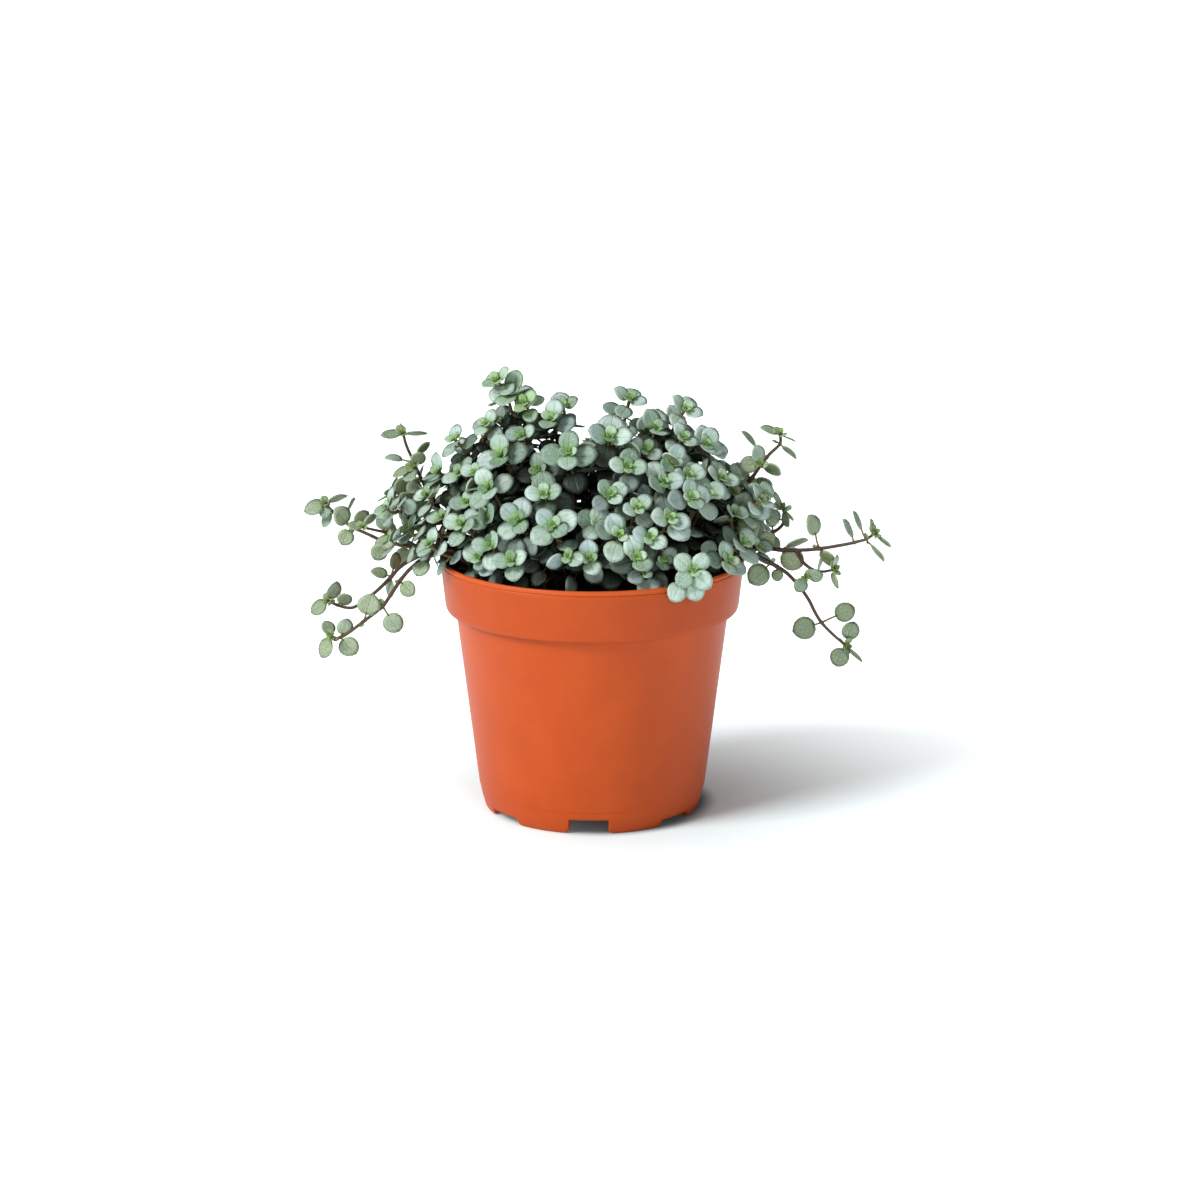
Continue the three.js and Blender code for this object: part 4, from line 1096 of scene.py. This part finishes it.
# Where added shoots may end: between the crown's tips, low round the rim, over the lip in front, out at the
# two sides and behind. Each has its number of spots and its limits in millimetres, or in degrees for a turn.
CROWN_SPOTS = 9000
CROWN_NEIGHBOURS = 8
CROWN_SINK = (-1, 10)
CROWN_LOWEST = 90
RIM_SPOTS = 1500
RIM_REACH = (34, 47)
RIM_HEIGHTS = (85, 100)
LIP_SPOTS = 300
LIP_TURNS = (-84, -25)
LIP_REACH = 45
LIP_HEIGHTS = (87, 93)
SIDE_SPOTS = 900
SIDE_OUT = (46, 70)
SIDE_DEEP = (-14, 14)
SIDE_HEIGHTS = (90, 118)
SIDE_FALL = 0.4
REAR_SPOTS = 900
REAR_SPAN = (-46, 46)
REAR_DEEP = (8, 34)
REAR_HEIGHTS = (90, 116)

# Where they may not: on the bare soil at the front left, far out on the right, above the saddle between the
# crown's two tops, and in the dark hollows of its front, each given as the x and height where the line of
# sight meets it and its radius.
BARE_MIDDLE = -22
BARE_HALF_WIDTH = 24
BARE_FROM = -8
BARE_TOP = 97
RIGHT_LIMIT = 58
SADDLE_HEIGHT = 119
SADDLE_RISE = 0.13
SADDLE_AT = -1.5
HIGHEST = 136
SIGHT_SLOPE = 0.257
HOLLOWS = np.array([[-3, 112, 13], [33, 93.5, 13], [-43, 90, 13], [-6, 95, 9], [-24, 112, 8], [-17, 125, 7]])
HOLLOWS_TO = 12

crown_tips = np.array([shoot["path"][-1] for stem in stems for shoot in stem if "blade" in shoot])
first = draws.integers(0, len(crown_tips), CROWN_SPOTS)
gaps = np.linalg.norm(crown_tips[first][:, None] - crown_tips, axis=-1)
nearest = np.argsort(gaps, axis=1)[:, 1 : CROWN_NEIGHBOURS + 1]
rows = np.arange(CROWN_SPOTS)
second = nearest[rows, draws.integers(0, CROWN_NEIGHBOURS, CROWN_SPOTS)]
third = nearest[rows, draws.integers(0, CROWN_NEIGHBOURS, CROWN_SPOTS)]
shares = draws.dirichlet((1, 1, 1), CROWN_SPOTS)
trios = np.stack([crown_tips[first], crown_tips[second], crown_tips[third]], 1)
spots = (trios * shares[..., None]).sum(1)
spots -= crown_facing(spots) * draws.uniform(*CROWN_SINK, (CROWN_SPOTS, 1))
spots = spots[spots[:, 2] > CROWN_LOWEST]

rim_turn = np.radians(draws.uniform(-180, 180, RIM_SPOTS))
rim_reach = draws.uniform(*RIM_REACH, RIM_SPOTS)
rim_height = draws.uniform(*RIM_HEIGHTS, RIM_SPOTS)
lip_turn = np.radians(draws.uniform(*LIP_TURNS, LIP_SPOTS))
lip_height = draws.uniform(*LIP_HEIGHTS, LIP_SPOTS)
side_out = draws.uniform(*SIDE_OUT, SIDE_SPOTS)
side_x = side_out * draws.choice([-1, 1], SIDE_SPOTS)
side_y = draws.uniform(*SIDE_DEEP, SIDE_SPOTS)
side_height = draws.uniform(*SIDE_HEIGHTS, SIDE_SPOTS) - (side_out - SIDE_OUT[0]) * SIDE_FALL
added_spots = [
    [rim_reach * np.cos(rim_turn), rim_reach * np.sin(rim_turn), rim_height],
    [LIP_REACH * np.cos(lip_turn), LIP_REACH * np.sin(lip_turn), lip_height],
    [side_x, side_y, side_height],
    [draws.uniform(*limits, REAR_SPOTS) for limits in (REAR_SPAN, REAR_DEEP, REAR_HEIGHTS)],
]
spots = np.concatenate([spots, *(np.stack(group, -1) for group in added_spots)])

x, y, height = spots.T
bare = (y < BARE_FROM) & (np.abs(x - BARE_MIDDLE) < BARE_HALF_WIDTH) & (height < BARE_TOP)
sight = height + SIGHT_SLOPE * y
off_hollow = np.hypot(x[:, None] - HOLLOWS[:, 0], sight[:, None] - HOLLOWS[:, 1])
in_hollow = (off_hollow < HOLLOWS[:, 2]).any(1) & (y < HOLLOWS_TO)
saddle = SADDLE_HEIGHT + SADDLE_RISE * (x - SADDLE_AT) ** 2
spots = spots[~(bare | (x > RIGHT_LIMIT) | in_hollow) & (height < np.minimum(saddle, HIGHEST))]


def nearest_start(spot):
    """The stem of the crown that a shoot to this spot can leave with the shortest way, and the place on it.
    The shoot has to rise on its way."""
    best = None
    for i, stem in enumerate(stems):
        if "blade" not in stem[0]:
            continue
        for t in np.linspace(*FILL_FROM, FILL_STARTS):
            start = on_stem(stem[0]["path"], t)
            way = np.linalg.norm(spot - start)
            if spot[2] - start[2] > FILL_RISE and (best is None or way < best[0]):
                best = way, i, t, start
    return best


room = np.linalg.norm(spots[:, None] - leaf_centres[:leaf_count], axis=-1).min(1)
draw = draws_from(977)
made = 0
while made < FILL_SHOOTS and room.max() > FILL_GAP:
    spot = spots[room.argmax()]
    room[np.linalg.norm(spots - spot, axis=1) < FILL_APART] = 0
    best = nearest_start(spot)
    if best is None or best[0] > FILL_REACH:
        continue
    _, i, t, start = best
    shoot = {"path": shoot_path(start, spot), "blade": between(FILL_BLADES, next(draw)), "from": t}
    before = leaf_count
    every_pair = (0, len(FILL_PAIRS))
    shoot["start"] = rosette(
        shoot, i, len(stems[i]), draw, FILL_PAIRS, FILL_AGES, every_pair, CLOSE, FINE_SHRINKS
    )
    if leaf_count > before:
        made += 1
        stems[i].append(shoot)
        probes = probes_along(shoot["path"])
        stem_probes = np.concatenate([stem_probes, probes])
        stem_owners = np.concatenate([stem_owners, np.full(len(probes), i)])
        fresh = leaf_centres[before:leaf_count]
        room = np.minimum(room, np.linalg.norm(spots[:, None] - fresh, axis=-1).min(1))

for i, stem in enumerate(stems):
    draw = draws_from(501 + i)
    for number, shoot in enumerate(stem):
        if "pairs" in shoot:
            lower_pairs = (shoot["pairs"], len(FINE_PAIRS))
            rosette(shoot, i, number, draw, FINE_PAIRS, FINE_AGES, lower_pairs, CLOSE, FINE_SHRINKS)

# The leaflets at each growing tip, youngest last: below the tip, rise, length, petiole and age. On arching
# stems they are turned up and towards the front.
HEART_PAIRS = [(0.6, 34, 3.4, 0.3, 0.6), (0.3, 50, 2.1, 0.2, 0.3), (0.1, 66, 1.2, 0.1, 0.0)]
HEART_BLADE = 6.8
ARCHING_BLADE = 6.4
HEART_SWING = 20
HEART_RISE_SPREAD = 12
HEART_TURN = np.array([0, -0.9, 0.7])


def heart(shoot, stem, number, draw):
    """The youngest pairs, which stand up round the growing tip. They grow with the square root of the
    rosette's blade."""
    path = shoot["path"]
    heading = heading_at(path, len(path) - 1)
    if "leaves" in shoot:
        heading = unit(heading + HEART_TURN)
    side = unit(np.cross(ASIDE_FROM, heading))
    across = np.cross(heading, side)
    start = shoot.get("start", 360 * next(draw)) + 90
    grow = (shoot.get("blade", ARCHING_BLADE) / HEART_BLADE) ** 0.5
    for k, (below, rise, length, petiole, age) in enumerate(HEART_PAIRS):
        t = place_below(path, below)
        for half in (0, 1):
            azimuth = math.radians(start + 90 * k + 180 * half + HEART_SWING * (next(draw) - 0.5))
            out = side * math.cos(azimuth) + across * math.sin(azimuth)
            lift = math.radians(rise + HEART_RISE_SPREAD * (next(draw) - 0.5))
            outward = out * math.cos(lift) + heading * math.sin(lift)
            face = heading * math.cos(lift) - out * math.sin(lift)
            size = length * grow * (0.9 + 0.2 * next(draw))
            frame = np.array([on_stem(path, t), outward, face])
            if not hits_pot(probes_of(frame, size, petiole)[1]):
                keep_leaf(frame, size, petiole, stem, number, t, age)


for i, stem in enumerate(stems):
    draw = draws_from(701 + i)
    for number, shoot in enumerate(stem):
        heart(shoot, i, number, draw)

# Buds: a tiny leaflet beside most of the larger leaves of an arching stem, turned well away from the leaf.
BUD_CHANCE = 0.65
BUD_FROM_LENGTH = 4.5
BUD_TURNS = (110, 250)
BUD_LENGTHS = (1.2, 2.6)
BUD_PETIOLE = 0.5
BUD_AGE = 0.45
for i in range(len(ARCHING)):
    draw = draws_from(901 + i)
    for k in np.flatnonzero(leaf_places[:leaf_count, 0] == i):
        if leaf_sizes[k, 0] < BUD_FROM_LENGTH or next(draw) > BUD_CHANCE:
            continue
        attach, outward, face = leaf_frames[k]
        swing = math.radians(between(BUD_TURNS, next(draw)))
        side = np.cross(face, outward)
        out = unit(outward * math.cos(swing) + side * math.sin(swing) + face * (next(draw) - 0.3))
        bud = np.array([attach, out, unit(face - out * face.dot(out))])
        keep_leaf(bud, between(BUD_LENGTHS, next(draw)), BUD_PETIOLE, *leaf_places[k], BUD_AGE)

# Each stem is drawn as it grows, and its leaves move with it: a shoot's line is its path with a root below
# or, on a side shoot, with its start moved to where the main shoot's curve runs.
STEM_SIDES = 8
STEM_STEPS = 7
STEM_RADII = (0.72, 0.45)
SIDE_RADII = (0.6, 0.4)
ARCHING_STOUTER = 1.1
NODE_SWELL = 0.3
NODE_REACH = 0.12
BLADE_SEGMENTS = 14
BLADE_ROWS = np.array([0, 0.62, 1.0, 0.66, 0])
BLADE_SIDE = np.array([1, 1, 0, -1, -1])
BLADE_HALF = 0.2
STALK_SIDES = 5
STALK_RADII = np.array([0.42, 0.34, 0.3])

leaf_shift = np.zeros((MOST_LEAVES, 3))
for i, stem in enumerate(stems):
    for number, shoot in enumerate(stem):
        path = shoot["path"]
        if shoot["from"] is None:
            root = path[0] - [0, 0, ROOT_DEPTH + ABOVE_SOIL]
            shoot["line"], shoot["ahead"] = np.concatenate([[root], path]), 1
        else:
            parent = stem[0]
            moved = grown(parent["line"], shoot["from"] + 1) - on_stem(parent["path"], shoot["from"])
            shoot["line"], shoot["ahead"] = np.concatenate([[path[0] + moved], path[1:]]), 0
        mine = np.flatnonzero((leaf_places[:leaf_count, :2] == (i, number)).all(1))
        at = leaf_places[mine, 2]
        leaf_shift[mine] = grown(shoot["line"], at + shoot["ahead"]) - on_stem(path, at)
        shoot["nodes"] = at + shoot["ahead"]


def tube(centres, radii, sides):
    """A round section carried along a line, with a flat cap at each end: at each point the section's axes
    are nearly the Y axis crossed with the line's heading, and the heading crossed with that."""
    heading = unit(np.gradient(centres, axis=0))
    side = unit(np.cross([0.1, 1.0, 0.05], heading))
    across = np.cross(heading, side)
    turn = TURN * np.arange(sides) / sides
    ring = np.cos(turn)[:, None] * side[:, None] + np.sin(turn)[:, None] * across[:, None]
    points = centres[:, None] + radii[:, None, None] * ring
    rows = np.arange(len(centres) - 1)[:, None] * sides
    k, after = np.arange(sides), (np.arange(sides) + 1) % sides
    quads = np.stack([rows + k, rows + after, rows + sides + after, rows + sides + k], -1).reshape(-1, 4)
    last = (len(centres) - 1) * sides
    ends = np.stack([k[::-1], last + k])
    return points.reshape(-1, 3), quads, ends


def blades(which):
    """Round blades for the chosen leaves. Along the blade x = L (1 + u cos a) / 2 past the petiole, and
    across it y = W u sin a / 2, a little wider near the base, for u from the middle to the rim and a round
    it. The blade is cupped by u squared, waved twice round, folded a little along its middle, droops
    towards its tip, and has an upper and a lower side that meet at the rim. The draws of a leaf set its
    width, cup, wave, where the wave starts, and its droop. Gives the points, and where each lies on its
    blade: along, over, and 1 on the lower side."""
    n = len(which)
    a = TURN * np.arange(BLADE_SEGMENTS) / BLADE_SEGMENTS
    u, a = np.broadcast_arrays(BLADE_ROWS[:, None], a)
    length = leaf_sizes[which, 0][:, None, None]
    petiole = leaf_sizes[which, 1][:, None, None]
    age = leaf_ages[which][:, None, None]
    seed = leaf_seeds[which][:, :, None, None]
    width = length * (0.97 + 0.1 * seed[:, 0]) * (0.72 + 0.28 * np.minimum(1, age * 1.6))
    along = u * np.cos(a)
    over = u * np.sin(a) * (1 - 0.07 * np.cos(a))
    cup = length * (0.02 + 0.1 * seed[:, 1] + 0.12 * (1 - age))
    wave = length * 0.03 * (seed[:, 2] - 0.3)
    fold = length * 0.035 * (1 - np.abs(over)) ** 4 * u
    height = cup * (u**2 - 0.4) + wave * u**2 * np.sin(2 * a + TURN * seed[:, 3]) - fold
    height = height - length * 0.1 * seed[:, 4] * np.clip(along, 0, 1) ** 2 * u
    height = height + BLADE_HALF * BLADE_SIDE[:, None] * np.minimum(1, 0.6 + length / 12)
    x = petiole + length * (1 + along) / 2 + length * 0.05 * seed[:, 0] * (over == 0) * (along > 0.9)
    y = width * over / 2
    attach, outward, face = (leaf_frames[which, j][:, None, None] for j in range(3))
    side = np.cross(face, outward)
    points = (attach + leaf_shift[which][:, None, None]) + outward * x[..., None]
    points = points + side * y[..., None] + face * height[..., None]
    surface = np.stack([along + 0 * x, over + 0 * x, (BLADE_SIDE[:, None] < 0) + 0 * x], -1)
    inner = slice(1, -1)
    points = np.concatenate([points[:, :1, 0], points[:, inner].reshape(n, -1, 3), points[:, -1:, 0]], 1)
    surface = np.concatenate([surface[:, :1, 0], surface[:, inner].reshape(n, -1, 3), surface[:, -1:, 0]], 1)
    return points, surface


def stalks(which):
    """Petioles: a thin five-sided section from the stem's middle over a low point halfway, which sags by a
    share of its length, to just under the blade."""
    attach, outward, face = (leaf_frames[which, j] for j in range(3))
    attach = attach + leaf_shift[which]
    petiole = leaf_sizes[which, 1][:, None]
    length = leaf_sizes[which, 0][:, None]
    scale = np.clip(length / 5, 0.45, 1)
    cup = length * (0.02 + 0.1 * leaf_seeds[which, 1:2] + 0.12 * (1 - leaf_ages[which][:, None]))
    under = face * (cup * 0.45 - 0.12)
    halfway = attach + outward * petiole * 0.5 - face * 0.06 * petiole
    spots = np.stack([attach, halfway, attach + outward * (petiole + 0.08 * length) + under], 1)
    turn = TURN * np.arange(STALK_SIDES) / STALK_SIDES
    side = np.cross(face, outward)
    ring = np.cos(turn)[:, None] * side[:, None] + np.sin(turn)[:, None] * face[:, None]
    points = spots[:, :, None] + STALK_RADII[:, None, None] * scale[:, None, None] * ring[:, None]
    return points.reshape(len(which), -1, 3)


def repeated(faces, count, points_each, first):
    """The faces of one shape, numbered for count copies of it whose points follow one another."""
    return (first + points_each * np.arange(count)[:, None, None] + faces).reshape(-1, faces.shape[1])


blade_quads, blade_ends = revolved_faces(len(BLADE_ROWS), BLADE_SEGMENTS)
blade_quads, blade_ends = blade_quads[:, ::-1], blade_ends[:, ::-1]
blade_points = BLADE_SEGMENTS * (len(BLADE_ROWS) - 2) + 2
ring = np.arange(STALK_SIDES)
after = (ring + 1) % STALK_SIDES
stalk_band = np.stack([ring, after, STALK_SIDES + after, STALK_SIDES + ring], -1)
stalk_quads = np.concatenate([stalk_band, STALK_SIDES + stalk_band])
stalk_ends = np.stack([ring[::-1], 2 * STALK_SIDES + ring])

# Each leaf has six draws from 0 to 1: five for its shape, of which the fifth is also its tone, and the sixth
# for its hue, from blue-green over silver to yellow-green. The trailing and arching stems are yellower than
# the crown, but for the one that leans out in front. The outermost leaves of the crown are paler, and those
# to the right are painted paler as painted light, standing in for the weaker light on that side. The clump at
# the upper left is young, and the trailer at the lower right is old.
YOUNG_CLUMP = len(ARCHING) + 3
FRONT_STEM = 7
OLD_TRAILER = 5
OUTER_FROM, OUTER_OVER = 38, 20
RIGHT_FROM, RIGHT_OVER = 5, 25
PALER = 0.22
leaf_seeds = draws.uniform(0, 1, (MOST_LEAVES, 6))
leaf_stem, leaf_shoot = leaf_places[:, 0], leaf_places[:, 1]
young_clump = leaf_stem == YOUNG_CLUMP
front_stem = leaf_stem == FRONT_STEM
old_trailer = leaf_stem == OLD_TRAILER
trails = (leaf_stem < len(ARCHING)) & ~front_stem
outer = np.clip((np.abs(leaf_centres[:, 0]) - OUTER_FROM) / OUTER_OVER, 0, 1)
rightwards = np.clip((leaf_centres[:, 0] - RIGHT_FROM) / RIGHT_OVER, 0, 1)

leaf_ages[young_clump & (leaf_shoot < 3)] *= 0.8
leaf_ages[young_clump & (leaf_shoot == 1)] *= 0.7
leaf_ages[old_trailer & (leaf_ages >= 1)] = 1.45
tones = np.where(young_clump, 0.45 + 0.5 * leaf_seeds[:, 4], leaf_seeds[:, 4])
# Painted light: the crown's leaves to the right are paler, for the weaker light on that side.
tones = np.clip(tones + PALER * np.maximum(rightwards, outer) * ~trails, 0, 1)
leaf_seeds[:, 4] = np.where(old_trailer, 0.35 * tones, tones)
hues = leaf_seeds[:, 5]
crown_hues = (0.6 + 0.2 * outer) * hues + 0.2 * outer
hues = np.where(trails, 0.7 + 0.3 * hues, crown_hues)
leaf_seeds[:, 5] = np.where(front_stem, 0.5 + 0.2 * hues, hues)

SHADE_AHEAD = (3, 30)
SHADE_ASIDE = 7
SHADE_ENOUGH = 4
LARGE_BLADE = 7
OPEN_HEIGHT, OPEN_OVER = 146, 16
TRAIL_SHADE = 0.35
REAR_FROM, REAR_OVER = 20, 12


def overhung(centres, sizes):
    """How deep each leaf stands under others, 0 to 1, which darkens the leaf as painted shade: the blades
    that lie within 7 mm of the line which runs 3 to 30 mm outwards through it from the middle of the soil,
    each counted by its area, four large ones being enough for 1. It falls towards the top of the crown, where
    light comes in from all round."""
    outwards = unit(centres - [0, 0, SOIL_LEVEL])
    offset = centres - centres[:, None]
    ahead = (offset * outwards[:, None]).sum(-1)
    aside = np.linalg.norm(offset - ahead[..., None] * outwards[:, None], axis=-1)
    over = (ahead > SHADE_AHEAD[0]) & (ahead < SHADE_AHEAD[1]) & (aside < SHADE_ASIDE)
    shade = np.minimum(1, (over * ~trails[:leaf_count] * (sizes / LARGE_BLADE) ** 2).sum(1) / SHADE_ENOUGH)
    return shade * np.clip((OPEN_HEIGHT - centres[:, 2]) / OPEN_OVER, 0.1, 1)


# Painted shade: how far each leaf is darkened. It is less on trailing stems, at the crown's outer edge, to
# the right and at the back.
painted_shade = overhung(leaf_centres[:leaf_count], leaf_sizes[:leaf_count, 0])
painted_shade *= np.where(trails[:leaf_count], TRAIL_SHADE, 1)
rear = np.clip((leaf_centres[:leaf_count, 1] - REAR_FROM) / REAR_OVER, 0, 1)
painted_shade *= 1 - np.maximum.reduce([0.75 * outer[:leaf_count], 0.3 * rightwards[:leaf_count], 0.5 * rear])

# A blade is silvery above, with a green midrib, faint side ribs, speckles and a pale rim. Young ones are
# lime-green and old ones dull and dark. The underside is plain grey-green. Leaves that stand deep under
# others are darkened towards black-green as painted shade.
leaf = Finish("pilea leaf", specular_ior_level=0.4)
along, over, under = leaf.own_three("blade")
age, tone, hue = leaf.own_three("growth")
squares = along * along + over * over
out_to_rim = squares.root()
midrib = 1 - abs(over).ramp(0.0, 0.09)
arc = abs(over) - 0.5 * (1 - along * along)
side_ribs = 1 - abs(arc).ramp(0.0, 0.07)
speckle = leaf.noise(0.55, 3, 0.7)
clouds = leaf.noise(3.5, 2)
silver = leaf.mix(tone.ramp(0, 1), light(104, 132, 112), light(190, 210, 202))
silver = leaf.mix((1 - hue.ramp(0.02, 0.16)) * 0.6, silver, light(164, 184, 190))
silver = leaf.mix(hue.ramp(0.25, 0.6) * 0.35, silver, light(140, 168, 142))
silver = leaf.mix(hue.ramp(0.6, 0.95) * 0.75, silver, light(138, 146, 100))
silver = leaf.mix(clouds.ramp(0.35, 0.75) * 0.4, silver, light(98, 124, 108))
silver = leaf.mix(speckle.ramp(0.5, 0.68) * 0.5, silver, light(206, 216, 214))
silver = leaf.mix(midrib * 0.15 + side_ribs * 0.1, silver, light(112, 140, 110))
silver = leaf.mix(out_to_rim.ramp(0.84, 1.0) * 0.55, silver, light(182, 198, 172))
silver = leaf.mix(age.ramp(1.0, 2.0) * 0.7, silver, light(58, 78, 60))
lime = leaf.mix(tone.ramp(0, 1), light(104, 150, 62), light(140, 182, 92))
lime = leaf.mix(hue.ramp(0.6, 0.95), lime, light(132, 144, 72))
green_base = (along * -1).ramp(-0.3, 1) * (1 - age.ramp(0.8, 1.1)) * 0.7
upper = leaf.mix(age.ramp(0.1, 0.9), lime, leaf.mix(green_base, silver, light(122, 168, 80)))
lower = leaf.mix(clouds.ramp(0.3, 0.7), light(98, 112, 80), light(118, 132, 98))
leaf_colour = leaf.mix(under.ramp(0.3, 0.7), upper, lower)
# Painted shade: the leaf's depth under others darkens it towards black-green.
leaf_colour = leaf.mix(leaf.own("depth").ramp(0.16, 0.78) * 0.93, leaf_colour, light(22, 36, 18))
leaf_height = speckle * 0.5 + leaf.noise(1.4, 2) * 0.9 - midrib * 0.8 - side_ribs * 0.4
leaf_relief = leaf.bump(leaf_height, 0.2, 0.8)
leaf_material = leaf.wear(base_color=leaf_colour, roughness=0.42 + speckle * 0.16, normal=leaf_relief)

twig = Finish("wiry stem", specular_ior_level=0.4)
young = twig.own("young")
bark = twig.mix(twig.noise(1.2, 3).ramp(0.35, 0.7), light(44, 26, 25), light(78, 46, 40))
bark = twig.mix(young * 0.85, bark, light(124, 118, 66))
twig_rough = 0.5 + twig.noise(0.6) * 0.2
twig_relief = twig.bump(twig.noise(0.5, 2), 0.08, 0.5)
twig_material = twig.wear(base_color=bark, roughness=twig_rough, normal=twig_relief)

YOUNG_STALK = 0.75
YOUNG_ARCHING = 0.25
YOUNG_CROWN = 0.8
SIDE_SHOOT_YOUNG = 0.35

for i, stem in enumerate(stems):
    arching = i < len(ARCHING)
    mine = np.flatnonzero(leaf_places[:leaf_count, 0] == i)
    count = len(mine)
    blade_shape, surface = blades(mine)
    parts = [blade_shape.reshape(-1, 3), stalks(mine).reshape(-1, 3)]
    after_blades = count * blade_points
    stalk_each = len(STALK_RADII) * STALK_SIDES
    faces = [
        (repeated(blade_quads, count, blade_points, 0), 0),
        (repeated(blade_ends, count, blade_points, 0), 0),
        (repeated(stalk_quads, count, stalk_each, after_blades), 1),
        (repeated(stalk_ends, count, stalk_each, after_blades), 1),
    ]
    stalk_young = YOUNG_STALK + (1 - YOUNG_STALK) * (1 - leaf_ages[mine])
    green = [np.zeros(after_blades), np.repeat(stalk_young, stalk_each)]
    total = after_blades + count * stalk_each
    for number, shoot in enumerate(stem):
        line = shoot["line"]
        t = np.linspace(0, len(line) - 1, STEM_STEPS * (len(line) - 1) + 1)
        share = t / t[-1]
        radii = between(SIDE_RADII if number else STEM_RADII, share) * (ARCHING_STOUTER if arching else 1)
        nodes = shoot["nodes"]
        if len(nodes):
            near = np.abs(t[:, None] - nodes).min(1)
            radii = radii * (1 + NODE_SWELL * np.exp(-((near / NODE_REACH) ** 2)))
        points, quads, ends = tube(grown(line, t), radii, STEM_SIDES)
        parts.append(points)
        faces += [(quads + total, 1), (ends + total, 1)]
        if number:
            share = SIDE_SHOOT_YOUNG + (1 - SIDE_SHOOT_YOUNG) * share
        freshness = share**2 * (YOUNG_ARCHING if arching else YOUNG_CROWN)
        green.append(np.repeat(freshness, STEM_SIDES))
        total += len(points)
    on_blade = np.zeros((total, 3))
    on_blade[:after_blades] = surface.reshape(-1, 3)
    grew = np.zeros((total, 3))
    grew[:after_blades] = np.repeat(np.column_stack([leaf_ages[mine], leaf_seeds[mine, 4:]]), blade_points, 0)
    # The painted shade, kept at each blade's points; stalks and stems get none.
    deep = np.zeros(total)
    deep[:after_blades] = np.repeat(painted_shade[mine], blade_points)
    node_name = f"leafy_stem_{i + 1:02d}"
    piece = fresh_mesh(node_name + "_grown", np.concatenate(parts), faces, [leaf_material, twig_material])
    point_value(piece, "young", np.concatenate(green))
    point_value(piece, "depth", deep)
    point_value(piece, "blade", on_blade)
    point_value(piece, "growth", grew)
    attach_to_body(piece, "root")
    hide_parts(node_name)

# ---- Floor ----
# A wide sheet of plain white paper under the pot. It is painted dark grey right under the feet, a painted
# contact shadow, and it glows white as painted light, a glow that only grows with the distance from the pot,
# so that the pot's own shadow shows beside it.

FLOOR_SIZE = 60
SHADE_MIDDLE = (0.015, 0, 0)
SHADE_LIMITS = (0.006, 0.162)
PAINTED_SHADOW_MIDDLE = (0.003, 0.001, 0)
PAINTED_SHADOW_LIMITS = (0.034, 0.042)
PAINTED_GLOW = 0.75

bpy.ops.mesh.primitive_plane_add(size=FLOOR_SIZE, location=(0, 0, 0))
floor = bpy.context.object
floor.name = "paper_sweep"
paper = Finish("white paper", roughness=0.9, specular_ior_level=0.1, emission_strength=PAINTED_GLOW)
# Painted shadow: the paper's colour turns dark grey right under the feet.
clear_of_painted_shadow = paper.away_from(PAINTED_SHADOW_MIDDLE).ramp(*PAINTED_SHADOW_LIMITS)
# Painted light: the paper's glow, which fades out towards the pot.
painted_glow_share = paper.away_from(SHADE_MIDDLE).ramp(*SHADE_LIMITS)
paper.wear(
    base_color=paper.mix(clear_of_painted_shadow, light(70, 70, 72), light(231, 248, 252)),
    emission_color=paper.mix(painted_glow_share, (0, 0, 0, 1), (1, 1, 1, 1)),
)
floor.data.materials.append(paper.material)
